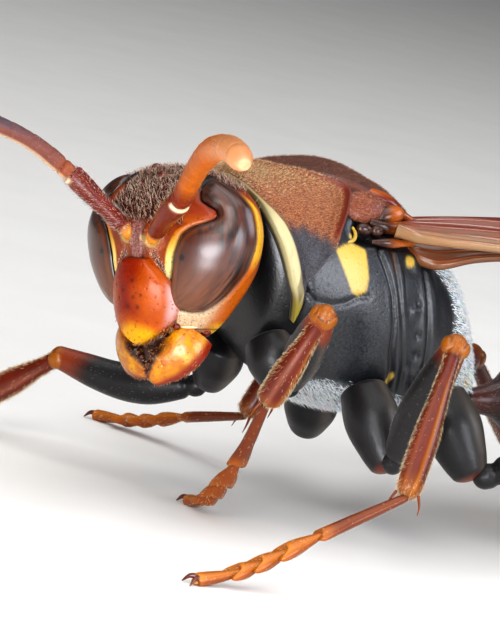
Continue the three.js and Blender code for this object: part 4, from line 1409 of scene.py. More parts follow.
@dataclass
class Feeler:
    """A feeler: a bulb in its socket, a stout first length, a short elbow and eleven rings."""

    side: str
    scape: Sequence[Triple]
    lash: Sequence[Triple]
    scape_radius: Pairs = ((0, 0.13), (0.12, 0.2), (0.3, 0.2), (0.85, 0.26), (1, 0.2))
    lash_radius: Pairs = ((0, 0.2), (0.05, 0.23), (0.2, 0.23), (0.6, 0.27), (0.92, 0.26), (1, 0.1))
    rings: int = 11
    warm: float = 0.0

    def build(self) -> list[Piece]:
        """Make the feeler's pieces: radius keyed along the path, pinched at each ring's joint.

        Returns:
            The objects.
        """
        stem = limb(Path(self.scape), self.scape_radius, 90, 56, 0.94)
        along = stem.marks["along"]
        stem = stem.raised(-0.035 * bell(along - 0.1, 0.03) + 0.03 * bell(along - 0.95, 0.03))
        up = stem.marks["up"]
        stem.marks["pale"] = np.clip(bell(along - 0.95, 0.034) * step(0.15, 0.6, -up)
                                     + 0.5 * bell(along - 0.02, 0.05), 0, 1)
        stem.marks["orange"] = 0.8 * step(0.13, 0.02, along)
        bulb = ball(self.scape[0], (0.17,) * 3, 20, 28)
        bulb.marks = {"orange": 1.0, "pale": 0.35}
        lash = limb(Path(self.lash), self.lash_radius, 280, 40, 1.0, blunt=0.9)
        share = lash.marks["along"]
        pace = np.clip((share - 0.055) / 0.945, 0, 1) ** 0.88 * self.rings
        within = pace - np.floor(pace)
        joint = np.minimum(within, 1 - within)
        elbow = bell(share - 0.055, 0.008)
        height = -0.012 * bell(joint, 0.05) * (share > 0.05) - 0.03 * elbow + 0.006 * step(0.4, 0.9, within)
        height *= step(0.0, 0.006, 1 - share)
        lash = lash.raised(height)
        up = lash.marks["up"]
        lash.marks["rose"] = (1 - self.warm) * (0.7 + 0.3 * step(0.04, 0.1, share))
        lash.marks["ember"] = self.warm * step(0.2, 0.05, share)
        lash.marks["grey"] = step(-0.3, 0.5, up) * step(0.1, 0.36, share) * 0.9 * (1 - self.warm)
        lash.marks["pale"] = np.clip(0.7 * (1 - self.warm) * step(-0.6, -0.95, up)
                                     + 0.25 * step(0.96, 1.0, share)
                                     + 0.3 * self.warm * step(0.5, 0.9, share), 0, 1)
        lash.marks["dark"] = np.clip(0.45 * bell(joint, 0.05) * (share > 0.05) + elbow, 0, 1)
        nap = Coat(2200, (0.025, 0.05), 0.004, lift=34, joints=1)
        bold = 0.03 if self.warm else 0.06
        stiff = Coat(1300, (bold, 2 * bold), 0.004, lift=40, swirl=0.25, joints=1)
        outwards = np.array(self.lash[-1]) - np.array(self.lash[0])
        tufts = [nap.grow(lash, 1.0, outwards, 20 + len(self.side)),
                 stiff.grow(stem, 1.0, outwards, 30 + len(self.side))]
        tones = ("96460E", "D8842A") if self.warm else ("8A5A50", "F0D4CC")
        side = self.side
        return [
            put(f"feeler_stem_{side}", [stem, bulb], Finish.SCAPE, "head_shell", f"scape_{side}"),
            put(f"feeler_lash_{side}", [lash], Finish.LASH, "feeler_shell", f"flagellum_base_{side}",
                f"flagellum_tip_{side}"),
            put_coat(f"feeler_down_{side}", tufts, tones),
        ]


# Thorax


@dataclass(frozen=True)
class ThoraxForm:
    """The middle body's shell: at place y, the point of turn t is (half cos t, y, middle + rise sin t)."""

    front: float = -3.95
    rear: float = 3.8
    top: Pairs = ((-3.95, 2.2), (-3.6, 2.45), (-3, 2.7), (-2, 3.08), (-1, 3.26), (0, 3.06), (1, 2.56),
                  (1.7, 2.14), (2.3, 1.6), (2.9, 0.62), (3.4, -0.5), (3.8, -1.3))
    bottom: Pairs = ((-3.95, 2), (-3.6, 1.25), (-3.2, 0.4), (-2.9, -0.4), (-2.4, -1.4), (-1.5, -1.95),
                     (0, -2.25), (1.5, -2.15), (3, -1.85), (3.8, -1.75))
    half: Pairs = ((-3.95, 0.9), (-3.6, 1.65), (-3, 1.98), (-2, 2.2), (-0.6, 2.36), (0.6, 2.28), (1.6, 2),
                   (2.6, 1.55), (3.4, 0.9), (3.8, 0.36))

    def point(self, y: Array, turn: Array) -> Array:
        """The shell's points at places and turns.

        Args:
            y: places along the body.
            turn: turns in radians.

        Returns:
            The points.
        """
        top, bottom = keyed(self.top, y), keyed(self.bottom, y)
        z = (top + bottom) / 2 + (top - bottom) / 2 * np.sin(turn)
        return np.stack(np.broadcast_arrays(keyed(self.half, y) * np.cos(turn), y, z), axis=-1)

    def onto(self, points: Array, swell: Union[Array, float]) -> Array:
        """Move points square to y until they lie on the shell, or outside it by a swell in mm.

        Args:
            points: places near the shell.
            swell: how far outside it each one ends.

        Returns:
            The moved points.
        """
        x, y, z = np.moveaxis(points, -1, 0)
        top, bottom, half = keyed(self.top, y), keyed(self.bottom, y), keyed(self.half, y)
        middle, rise = (top + bottom) / 2, (top - bottom) / 2
        out = np.hypot(x / half, (z - middle) / rise)
        reach = np.hypot(x, z - middle)
        scale = (1 / out) * (1 + swell * out / reach)
        return np.stack([x * scale, y, middle + (z - middle) * scale], axis=-1)


@dataclass
class Collar:
    """The collar plate: an arch over the front of the thorax, its front edge a raised pale ridge.

    Both edges are curves through stations from the left lower corner over the top to the right one.
    """

    form: ThoraxForm = field(default_factory=ThoraxForm)
    front: Sequence[Triple] = ((1.64, -2.0, -0.76), (1.8, -2.16, -0.27), (1.86, -2.36, 0.05),
                               (1.88, -2.72, 0.7), (1.84, -2.98, 1.1), (1.73, -3.3, 1.52),
                               (1.44, -3.6, 1.82), (0.95, -3.82, 2.06), (0, -3.86, 2.18))
    rear: Sequence[Triple] = ((1.68, -1.92, -0.76), (1.89, -1.91, -0.33), (2.06, -1.94, -0.02),
                              (2.26, -1.44, 0.92), (2.2, -1.32, 1.4), (1.87, -1.09, 2.2),
                              (1.5, -1.75, 2.55), (0.98, -2.7, 2.6), (0, -3.12, 2.66))
    fleece_line: Pairs = ((-3.4, 1.5), (-2.66, 1.26), (-2.39, 1.23), (-2.09, 1.24), (-1.81, 1.18),
                          (-1.5, 0.95))
    bulk: Pairs = ((0, 0.03), (0.125, 0.1), (0.25, 0.15), (0.375, 0.14), (0.5, 0.11), (0.625, 0.07),
                   (0.75, 0.05), (1, 0.03))
    ridge_wide: Pairs = ((0, 0.06), (0.125, 0.13), (0.25, 0.18), (0.375, 0.18), (0.5, 0.17), (0.56, 0.13),
                         (0.625, 0.085), (0.75, 0.055), (0.875, 0.045), (1, 0.04))
    thick: float = 0.17
    proud: float = 0.06

    def edge(self, stations: Sequence[Triple], s: Array) -> Array:
        """An edge's points at shares of the whole arch: smooth curves through the mirrored stations.

        Args:
            stations: the left half's places, from low to the top.
            s: shares of the arch.

        Returns:
            The points.
        """
        whole = list(stations) + [(-x, y, z) for x, y, z in stations[-2::-1]]
        knots = np.linspace(0, 1, len(whole))
        return np.stack([keyed([(k, w[i]) for k, w in zip(knots, whole)], s) for i in range(3)], axis=-1)

    def plate(self) -> Grid:
        """The plate: straight lines between its edges laid onto the thorax, and the same line underneath.

        Returns:
            The grid in the body's frame, with marks.
        """
        rows, over, under = 340, 140, 20
        s = np.linspace(0.002, 0.998, rows)[:, None]
        v = np.concatenate([lathe_rows(over), lathe_rows(under)[::-1]])[None]
        outer = np.arange(over + under)[None] < over
        first, last = self.edge(self.front, s[:, 0])[:, None], self.edge(self.rear, s[:, 0])[:, None]
        flat = first * (1 - v[..., None]) + last * v[..., None]
        wide = np.linalg.norm(last - first, axis=-1)
        from_front, from_rear = wide * v, wide * (1 - v)
        p = self.form.onto(flat, 0.0)
        lower = 1 - np.abs(2 * s - 1)
        ridge_wide = keyed(self.ridge_wide, lower)
        ridge = keyed(self.bulk, lower) * bell(from_front - ridge_wide, ridge_wide)
        groove = -0.035 * bell(from_front - 2.5 * ridge_wide, 0.09) * step(0.1, 0.25, lower)
        rim = 0.05 * bell(from_rear - 0.07, 0.07) * step(0.12, 0.3, lower)
        blade = 0.13 * bell(from_rear - 0.09, 0.09) * window(lower, 0.46, 0.68, 0.08)
        drop = 0.11 * (step(0.05, 0.0, from_rear) + step(0.05, 0.0, from_front))
        y, z = p[..., 1], p[..., 2]
        dent = -0.05 * bell(from_rear - 0.28, 0.13) * window(lower, 0.4, 0.62, 0.1)
        sag = -0.03 * bell(z - 0.9, 0.5) * bell(y + 2.2, 0.3)
        face = self.proud + ridge + groove + rim + blade + dent + sag - drop
        height = np.where(outer, face, self.proud - self.thick)
        grid = Grid(self.form.onto(flat, height))
        ridge_share = step(1.8, 1.4, from_front / ridge_wide)
        line = z - keyed(self.fleece_line, y)
        fade = 0.05 * np.sin(9 * y) + 0.03 * np.sin(23 * y)
        fleece = step(-0.22, 0.14, line + fade)
        olive = step(0.24, 0.08, lower)
        streak = window(from_front, 0.7 * ridge_wide, 1.6 * ridge_wide, 0.03)
        streak *= window(lower, 0.12, 0.34, 0.04) * step(0.1, 0.5, np.sin(14 * y))
        low_rear = window(lower, 0.42, 0.72, 0.06)
        grey, down = (1 - fleece) * (1 - ridge_share), fleece * (1 - ridge_share)
        grid.marks = {
            # The grey bloom below the fleece is partly fine down and partly a painted blue-grey sheen.
            "grey": grey, "down": down, "frost": (1 - fleece) * 0.8,
            "pale": ridge_share * (1 - olive) * (1 - 0.6 * step(0.5, 0.7, lower)),
            "yellow": ridge_share * (0.4 + 0.6 * olive),
            "rust": step(0.2, 0.12, from_rear) * low_rear,
            "dark": np.clip(0.9 * step(0.03, 0.0, from_front) + 0.55 * streak
                            + 0.5 * bell(from_front - 2.6 * ridge_wide, 0.05) * step(0.2, 0.3, lower), 0, 1),
            "velvet": outer * down * (1 - step(0.24, 0.16, from_rear) * low_rear),
            # The arch's upper part is marked for hairs in lighter gold tones, a painted highlight where light
            # falls on top.
            "nap": outer * grey, "high": step(0.6, 0.82, lower),
            "fringe": outer * bell(from_rear - 0.05, 0.06) * step(0.66, 0.74, lower),
        }
        return grid

    def build(self) -> list[Piece]:
        """Make the collar's pieces.

        Returns:
            The objects.
        """
        plate = self.plate().placed(BODY)
        velvet, high = plate.marks["velvet"], plate.marks["high"]
        back = BODY.way(0, 1, -0.25)
        coats = (
            # On the collar's upper part the darker hairs thin out and lighter gold hairs take over: a painted
            # highlight on top.
            ("collar_velvet", Coat(26000, (0.03, 0.07), 0.005, lift=30, spread=12, joints=1),
             velvet * (1 - 0.75 * high), back, 40, ("6A2C14", "D49664")),
            ("collar_painted_highlight_hair", Coat(9000, (0.035, 0.08), 0.005, lift=34, spread=12, joints=1),
             velvet * high, back, 43, ("7A461C", "F2D6A0")),
            ("collar_frost", Coat(8000, (0.025, 0.05), 0.004, lift=18, spread=7, joints=1),
             plate.marks["nap"], back, 41, ("24262C", "70747E")),
            ("collar_fringe", Coat(900, (0.04, 0.09), 0.0045, lift=40, spread=12),
             plate.marks["fringe"], BODY.way(0, 0.6, 1.0), 42, ("8A4A2E", "E8C4A0")),
        )
        made = [put("collar_plate", [plate], Finish.COLLAR, "collar_shell", "pronotum")]
        for name, coat, weight, lie, seed, tones in coats:
            made.append(dress(name, coat, [(plate, weight)], lie, seed, tones))
        return made


@dataclass
class Thorax:
    """The middle and rear thorax as one shell, carved into its plates, with wing roots and wing scales.

    Lines and outlines are (y, z) places seen from the side. A dimple is y, z and size. A bright spot is
    y, z, length over width, size and strength.
    """

    form: ThoraxForm = field(default_factory=ThoraxForm)
    spot: Pairs = ((-1.44, 0.88), (-1.21, 1.05), (-0.94, 1.14), (-0.71, 1.03), (-0.55, 0.43),
                   (-0.55, 0.11), (-0.73, -0.04), (-0.9, 0.04), (-1.12, 0.38))
    plate_line: Pairs = ((-0.35, 1.53), (-0.33, 1.04), (-0.05, 0.57), (0.15, 0.18), (0.35, -0.4),
                         (0.51, -0.99), (0.79, -1.43), (1.0, -1.8))
    gutter: Pairs = ((-0.05, 1.4), (0.11, 0.9), (0.47, -0.13), (0.75, -0.78), (1.14, -1.48), (1.3, -1.8))
    rear_line: Pairs = ((0.8, 1.5), (1.1, 0.6), (1.35, -0.3), (1.65, -1.3), (1.8, -1.8))
    scrobe: Pairs = ((-1.93, -0.13), (-1.66, -0.32), (-1.24, -0.33), (-0.97, -0.23), (-0.7, -0.04),
                     (-0.45, 0.02))
    scutum_edge: Pairs = ((-3.1, 0.0), (-2.9, 0.7), (-2.5, 1.15), (-2, 1.4), (-1.5, 1.52), (-0.8, 1.6),
                          (0.2, 1.5), (0.9, 1.25), (1.25, 0.9))
    rows: int = 264
    columns: int = 284
    rim_line: Pairs = ((-1.5, 2.35), (-0.5, 2.2), (0.02, 2.15), (0.48, 2.0), (0.88, 1.6), (1.2, 1.05))
    under_wing: Pairs = ((-0.95, 1.15), (-0.95, 1.75), (0.5, 1.95), (1.3, 1.7), (0.9, 1.3))
    between: Pairs = ((0.3, 0.95), (0.85, 0.85), (1.15, -0.3), (1.45, -1.3), (1.1, -1.3), (0.6, -0.3))
    pit: Triple = (2.2, -0.78, 1.42)
    hips: Sequence[Triple] = ((1.5, -1.7, -1.5), (1.6, 0.4, -1.75), (1.4, 2.2, -1.5))
    dimples: Sequence[Triple] = ((1.3, -0.97, 0.1), (1.12, -0.55, 0.06), (0.95, 0.15, 0.07))
    bright: Sequence[tuple[float, ...]] = ((0.54, 1.03, 1.0, 0.15, 1.0), (0.86, -1.59, 0.45, 0.18, 1.0),
                                           (3.18, -1.09, 0.5, 0.26, 1.0), (-1.08, 1.26, 1.0, 0.08, 0.8))
    tegula: Triple = (1.99, -0.74, 2.02)

    def shell(self) -> Grid:
        """The thorax skin: the form with grooves along the plates' seams and soft swells between them.

        Returns:
            The grid in the body's frame, with marks.
        """
        y = self.form.front + (self.form.rear - self.form.front) * lathe_rows(self.rows)[:, None]
        grid = Grid(self.form.point(y, loop_angles(self.columns)[None]))
        x, y, z = np.moveaxis(grid.points, -1, 0)
        side = np.abs(x)
        flank = step(0.35, 0.7, side / np.maximum(keyed(self.form.half, y), 0.1))
        plate = pair_gap(y, z, self.plate_line)
        rear = pair_gap(y, z, self.rear_line)
        scrobe = pair_gap(y, z, self.scrobe)
        gutter = pair_gap(y, z, self.gutter)
        folded = np.stack([side, y, z], axis=-1)
        pit = from_point(folded, self.pit)
        under_wing = blot(y, z, self.under_wing, 0.12) * flank
        ahead = step(0.0, 0.5, -2.2 - y - 0.45 * (z - 1.0)) * step(2.6, 2.2, z)
        edge = side - keyed(self.scutum_edge, np.clip(y, -3.1, 1.25))
        back = step(1.9, 2.3, z) * step(-3.3, -3.0, y)
        crest = bell(edge, 0.08) * back * step(1.3, 1.1, y)
        seam = bell(y - 1.3 + 0.35 * (side / 1.2) ** 2, 0.055) * back
        shield = np.exp(-((x / 0.95) ** 4 + ((y - 0.72) / 0.5) ** 4))
        ring = bell(y - 1.75, 0.05) * step(1.0, 1.5, z)
        socket = np.max([bell(from_point(folded, hip), 0.5) for hip in self.hips], axis=0)
        furrow = bell(x, 0.16) * step(2.0, 2.6, y) * step(-1.4, -0.4, z)
        wrinkle = 0.012 * np.sin(26 * z + 5 * np.sin(3 * y)) * step(2.0, 2.5, y) * step(0.6, 0.1, side / 1.6)
        swell = 0.018 * bell(np.minimum(plate, gutter) - 0.13, 0.07) * step(-0.1, 0.1, y + 0.4 * z - 0.1)
        height = swell + 0.03 * bell(rear - 0.2, 0.13) + 0.05 * bell(np.hypot(y - 0.86, z + 0.07), 0.12)
        height -= 0.06 * bell(plate, 0.05) + 0.06 * bell(rear, 0.06) + 0.05 * bell(scrobe, 0.05)
        height -= 0.045 * bell(gutter, 0.05) + 0.05 * blot(y, z, self.between, 0.08)
        height -= 0.07 * sum(bell(np.hypot(y - py, z - pz), wide) for py, pz, wide in self.dimples)
        height *= flank
        height -= 0.2 * bell(pit, 0.26) + 0.13 * under_wing + 0.14 * ahead + 0.06 * socket
        height -= 0.06 * crest + 0.07 * seam + 0.05 * ring + 0.1 * furrow
        height += 0.07 * shield * step(1.5, 2.0, z) + wrinkle
        shaped = grid.raised(height)
        spots = np.max([most * bell(np.hypot((y - cy) / long, z - cz), wide)
                        for cy, cz, long, wide, most in self.bright], axis=0)
        rim = step(-0.12, 0.25, y - keyed(self.rim_line, z)) * step(3.5, 3.1, y) * step(1.45, 1.2, z)
        lowest = step(-1.78, -1.98, z) * window(y, -1.9, 1.9, 0.3)
        dome = step(2.05, 2.45, z) * step(1.5, 1.2, y)
        shaped.marks = {
            "brown": dome, "rust": np.clip(0.7 * crest + 0.5 * shield * back, 0, 1),
            # The grey bloom on the lower flank and the back is partly fine down and partly a painted
            # blue-grey sheen.
            "frost": flank * step(1.3, 0.6, z) * step(-2.3, -1.9, y) * (1 - 0.6 * step(0.1, 0.4, y))
            + 0.7 * dome,
            "down": np.clip(lowest + 0.75 * rim * step(0.2, 0.9, side), 0, 1),
            "yellow": np.clip(blot(y, z, self.spot, 0.03) + step(0.35, 0.65, spots), 0, 1) * flank,
            "orange": 0.5 * bell(gutter, 0.03) * step(0.5, 0.9, z) * flank,
            "dark": np.clip((0.8 * bell(plate, 0.045) + 0.7 * bell(gutter, 0.05) + 0.8 * bell(rear, 0.05)
                             + 0.6 * bell(scrobe, 0.04)) * flank + bell(pit, 0.22) + 0.9 * ahead
                            + 0.5 * under_wing + 0.5 * seam + 0.6 * ring, 0, 1),
            "belly": lowest, "silver": rim * step(0.15, 0.6, side), "dome": dome,
            "flank": flank * step(1.2, 0.8, z) * step(-2.0, -1.8, y),
        }
        return shaped

    def roots(self) -> list[Grid]:
        """The small plates at the wing's base, on the left side in the body's frame.

        Returns:
            The grids.
        """
        knob = ball((1.9, 0.0, 1.98), (0.24, 0.42, 0.24), 32, 40, turned(24, 0, 8, "ZXY"))
        knob.marks = {"orange": 0.75 * step(-0.25, 0.1, knob.points[..., 1])}
        hump = ball((1.38, 0.1, 2.42), (0.3, 0.5, 0.16), 28, 36, turned(-14, 24, 0, "ZXY"))
        hump.marks = {"orange": 0.65 * step(2.4, 2.55, hump.points[..., 2]), "rust": 1.0}
        arm = limb(Path([(2.1, -0.62, 1.72), (2.16, -0.2, 1.66), (2.04, 0.3, 1.76), (1.88, 0.8, 1.9)]),
                   ((0, 0.09), (0.4, 0.14), (1, 0.13)), 60, 28)
        arm.marks["orange"] = 0.8 * step(0.25, 0.55, arm.marks["along"])
        lower = limb(Path([(2.22, -0.55, 1.25), (2.28, -0.15, 1.3), (2.22, 0.25, 1.38), (2.08, 0.6, 1.5)]),
                     ((0, 0.05), (0.4, 0.11), (0.7, 0.08), (1, 0.1)), 60, 28)
        lower.marks["orange"] = 0.7 * step(0.25, 0.6, lower.marks["along"])
        strut = limb(Path([(2.25, -1.16, 1.1), (2.25, -1.0, 1.2), (2.19, -0.96, 1.36), (2.12, -1.02, 1.5)]),
                     ((0, 0.03), (0.4, 0.045), (1, 0.03)), 50, 20)
        strut.marks["yellow"] = 0.6
        bead = ball((2.18, -0.74, 1.5), (0.12, 0.2, 0.13), 24, 30)
        second = ball((2.2, -0.42, 1.52), (0.11, 0.16, 0.12), 24, 30)
        crest = limb(Path([(1.72, -0.5, 2.26), (1.76, 0.0, 2.2), (1.7, 0.45, 2.1), (1.66, 0.8, 2.02)]),
                     ((0, 0.05), (0.5, 0.12), (1, 0.1)), 60, 28)
        crest.marks["rust"] = 0.5
        crest.marks["orange"] = 0.5 * step(0.4, 0.7, crest.marks["along"])
        return [knob, hump, arm, lower, strut, bead, second, crest]

    def scale(self) -> Grid:
        """The left wing scale: a domed velvety plate over the wing's root, in the body's frame.

        Returns:
            The grid.
        """
        plate = ball(self.tegula, (0.16, 0.58, 0.37), 72, 90, turned(14, -20, 6, "ZXY"))
        rear = step(0.1, 0.35, plate.points[..., 1] - self.tegula[1])
        plate.marks = {"down": 1 - 0.5 * rear, "rust": 0.6 * rear}
        return plate

    def build(self) -> list[Piece]:
        """Make the thorax's pieces.

        Returns:
            The objects.
        """
        shell = self.shell().placed(BODY)
        roots, scale = self.roots(), self.scale()
        made = [put("thorax_shell", [shell], Finish.THORAX, "thorax_shell", "mesothorax", "propodeum",
                    "propleura")]
        for side, grids in (("left", roots), ("right", [grid.mirrored() for grid in roots])):
            placed = [grid.placed(BODY) for grid in grids]
            made.append(put(f"wing_root_{side}", placed, Finish.SCLERITE, "collar_shell"))
        scales = {"left": scale.placed(BODY), "right": scale.mirrored().placed(BODY)}
        for side, grid in scales.items():
            made.append(put(f"wing_scale_{side}", [grid], Finish.COLLAR, "collar_shell", f"tegula_{side}"))
        silvery = shell.marks["silver"] + 0.9 * shell.marks["belly"]
        coats = (
            ("scale_velvet", Coat(1500, (0.03, 0.06), 0.0045, lift=30, joints=1),
             [(grid, 1.0) for grid in scales.values()], 55, ("6A2E18", "D8A888"), "collar_shell"),
            ("flank_frost", Coat(7000, (0.025, 0.05), 0.004, lift=16, spread=6, joints=1),
             [(shell, shell.marks["flank"])], 50, ("141519", "4A4E58"), "thorax_shell"),
            ("back_velvet", Coat(9000, (0.04, 0.09), 0.005, lift=36, spread=12, joints=1),
             [(shell, shell.marks["dome"])], 51, ("34160C", "94603E"), "thorax_shell"),
            ("silver_hair", Coat(9000, (0.09, 0.22), 0.0075, lift=30, spread=14),
             [(shell, silvery)], 52, ("E2E2E4", "FFFFFF"), "thorax_shell"),
        )
        back = BODY.way(0, 1, -0.3)
        for name, coat, skins, seed, tones, slot in coats:
            made.append(dress(name, coat, skins, back, seed, tones))
        return made


# Legs


@dataclass(frozen=True)
class LegSizes:
    """Radii of a leg's coxa, femur, tibia and foot."""

    coxa: float
    femur: float
    tibia: float
    tarsus: float


LEG_SIZES = {"fore": LegSizes(0.62, 0.45, 0.33, 0.22), "mid": LegSizes(0.66, 0.47, 0.32, 0.23),
             "hind": LegSizes(0.72, 0.5, 0.34, 0.24)}


@dataclass(frozen=True)
class ToeShape:
    """A foot joint: its end radii as shares of the foot's, its lobes, how far they run on, its colours."""

    narrow: float
    wide: float
    lobed: float
    stretch: float
    orange: float
    rust: float


MIDDLE_TOE = ToeShape(0.38, 0.96, 1.0, 0.3, 0.75, 0.2)
TOE_SHAPES = (ToeShape(0.52, 0.72, 1.0, 0.14, 0.1, 0.8), MIDDLE_TOE, MIDDLE_TOE, MIDDLE_TOE,
              ToeShape(0.42, 0.8, 0.0, 0.0, 0.75, 0.2))


@dataclass
class Leg:
    """A leg: hip, small trochanter, thigh, shin with spurs, five foot joints, claws and pad."""

    name: str
    root: Triple
    hip: Triple
    knee: Triple
    ankle: Triple
    toes: Sequence[Triple]
    sag: float = 0.0
    thigh_red: float = 0.78
    shares: Sequence[float] = (0, 0.42, 0.58, 0.7, 0.8, 1)
    claw_length: float = 0.42
    claw_spread: float = 28.0
    claw_arch: float = 0.14

    @property
    def sizes(self) -> LegSizes:
        """This leg's radii."""
        return LEG_SIZES[self.name.split("_")[0]]

    def thigh(self) -> Grid:
        """The trochanter's ring and the thigh, widest before its middle, black with a red knee.

        Returns:
            The grid, with marks.
        """
        size = self.sizes.femur
        middle = (np.array(self.hip) + np.array(self.knee)) / 2 + np.array([0, 0, 0.12 - self.sag])
        knee = np.array(self.knee)
        path = Path([self.hip, middle.tolist(), (knee + 0.5 * size * unit(knee - middle)).tolist()])
        radius = ((0, size * 0.5), (0.1, size * 0.62), (0.4, size), (0.7, size * 0.86), (0.93, size * 0.62),
                  (1, size * 0.56))
        thigh = limb(path, radius, 84, 60, 0.94, (0, 1, 0.2), 1.0)
        along, up = thigh.marks["along"], thigh.marks["up"]
        thigh = thigh.raised(-0.06 * bell(along - 0.11, 0.02))
        red = step(self.thigh_red - 0.06, self.thigh_red + 0.12, along + 0.05 * up)
        thigh.marks["rust"] = red
        thigh.marks["orange"] = 0.8 * step(0.88, 0.97, along)
        thigh.marks["pale"] = 0.4 * bell(up - 0.35, 0.25) * step(0.15, 0.3, along) * (1 - red)
        thigh.marks["dark"] = 0.6 * bell(along - 0.11, 0.015) + 0.6 * bell(along - 0.965, 0.006)
        return thigh

    def shin(self) -> list[Grid]:
        """The shin, wider towards its foot end, with a bright stripe and two spurs; the stripe is a painted
        highlight.

        Returns:
            The shin, the knee's cap and the spurs.
        """
        size = self.sizes.tibia
        radius = ((0, size * 0.6), (0.1, size * 0.66), (0.18, size * 0.56), (0.32, size * 0.62),
                  (0.72, size * 0.95), (0.9, size * 0.92), (1, size * 0.72))
        knee, end = np.array(self.knee), np.array(self.ankle)
        ahead = unit(end - knee)
        path = Path([(knee - 0.8 * size * ahead).tolist(), self.ankle])
        shin = limb(path, radius, 110, 56, 0.94, (0, 1, 0.2), 0.95)
        along, up = shin.marks["along"], shin.marks["up"]
        shin = shin.raised(-0.015 * bell(along - 0.145, 0.014))
        # The orange stripe along the shin is a painted highlight; the orange at both ends is the shin's own
        # colour.
        shin.marks["orange"] = np.clip(0.85 * bell(up - 0.2, 0.16) * step(0.16, 0.4, along)
                                       + 0.9 * step(0.16, 0.1, along) + 0.65 * step(0.86, 1.0, along), 0, 1)
        # The pinkish pale line on the other side is a painted highlight too.
        shin.marks["pale"] = 0.3 * bell(up + 0.7, 0.15) * step(0.2, 0.4, along)
        shin.marks["ember"] = step(0.3, 0.9, up) * 0.8
        shin.marks["dark"] = 0.6 * bell(along - 0.15, 0.012) + 0.35 * bell(along - 0.085, 0.008)
        side = unit(np.cross(ahead, np.array([0, 0, 1.0])))
        grids = [shin, self.cap()]
        for hand in (1, -1):
            base = end - ahead * 0.1 + side * hand * size * 0.75
            tip = base + ahead * 0.42 + side * hand * 0.1 - np.array([0, 0, 0.05])
            tip[2] = max(tip[2], 0.03)
            spur = limb(Path([base.tolist(), ((base + tip) / 2 + side * hand * 0.03).tolist(), tip.tolist()]),
                        ((0, 0.034), (0.5, 0.025), (1, 0.007)), 20, 12)
            spur.marks["orange"] = 0.3
            grids.append(spur)
        return grids

    def cap(self) -> Grid:
        """The knee: a cap wider along the hinge than across it, with a dark crease near each end.

        Returns:
            The grid, with marks.
        """
        size = self.sizes.femur
        knee = np.array(self.knee)
        upper, lower = unit(knee - np.array(self.hip)), unit(np.array(self.ankle) - knee)
        hinge, crown = unit(np.cross(upper, lower)), unit(upper - lower)
        axes = np.stack([hinge, np.cross(crown, hinge), crown], axis=-1)
        cap = ball((0, 0, 0), (1, 1, 1), 40, 48)
        place = cap.points
        cap.points = np.sign(place) * np.abs(place) ** 0.82 * np.array([0.7, 0.56, 0.5]) * size
        along = cap.points[..., 0] / (0.7 * size)
        top = step(-0.2, 0.4, place[..., 2])
        crease = bell(np.abs(along) - 0.62 - 0.12 * place[..., 1], 0.06) * top
        cap = cap.raised(-0.03 * crease - 0.02 * bell(along, 0.3) * top)
        cap.marks = {"orange": 0.9, "dark": 0.6 * crease}
        cap.points = cap.points @ axes.T + knee - 0.1 * size * crown
        return cap

    def foot_path(self) -> Path:
        """The path of the five foot joints."""
        return Path([self.ankle, *self.toes])

    def foot(self) -> list[Grid]:
        """Five foot joints, each flaring to two short lobes at its end; the last one slender.

        Returns:
            The joints, with marks.
        """
        size = self.sizes.tarsus
        path = self.foot_path()
        grids = []
        for low, high, shape in zip(self.shares[:-1], self.shares[1:], TOE_SHAPES):
            piece = path.part(max(low - 0.015, 0.0), high, 7)
            narrow, wide = size * shape.narrow, size * shape.wide
            radius = ((0, narrow * 0.85), (0.1, narrow), (0.95, wide), (1, wide * 0.97))
            joint = limb(piece, radius, 36, 36, 0.8, blunt=0.1)
            along, up, turn = joint.marks["along"], joint.marks["up"], joint.marks["turn"]
            side = shape.lobed * np.abs(np.cos(2 * np.pi * turn)) ** 7
            joint = joint.raised(0.075 * side * step(0.6, 1.0, along) * step(1.0, 0.96, along))
            stretch = shape.stretch * side * step(0.75, 1.0, along)
            joint.points = joint.points + stretch[..., None] * piece.ahead(np.array(1.0))
            # The joint's own orange and a pale band lie on its upper side only: painted light on top, the
            # darker ground below.
            joint.marks["orange"] = shape.orange * step(-0.2, 0.6, up) + 0.3 * step(0.75, 1.0, along)
            joint.marks["rust"] = shape.rust * step(0.97, 0.8, along)
            joint.marks["pale"] = 0.25 * bell(up - 0.6, 0.25)
            joint.marks["dark"] = 0.45 * step(0.97, 1.0, along) + 0.3 * step(0.08, 0.0, along)
            joint.points[..., 2] = np.maximum(joint.points[..., 2], 0.004)
            grids.append(joint)
        return grids

    def claws(self) -> list[Grid]:
        """Two hooked claws beyond the last joint, tips on the floor.

        Returns:
            The claws.
        """
        path = self.foot_path()
        end = path.at(np.array(0.97))
        ahead = unit(path.ahead(np.array(1.0)) * np.array([1, 1, 0]))
        grids = []
        for hand in (1, -1):
            out = turned(0, 0, hand * self.claw_spread, "XYZ") @ ahead
            middle = end + out * self.claw_length * 0.6
            tip = end + out * self.claw_length
            middle[2], tip[2] = self.claw_arch + 0.02, 0.015
            grids.append(limb(Path([end.tolist(), middle.tolist(), tip.tolist()]),
                              ((0, 0.075), (0.5, 0.055), (1, 0.012)), 30, 20))
        return grids

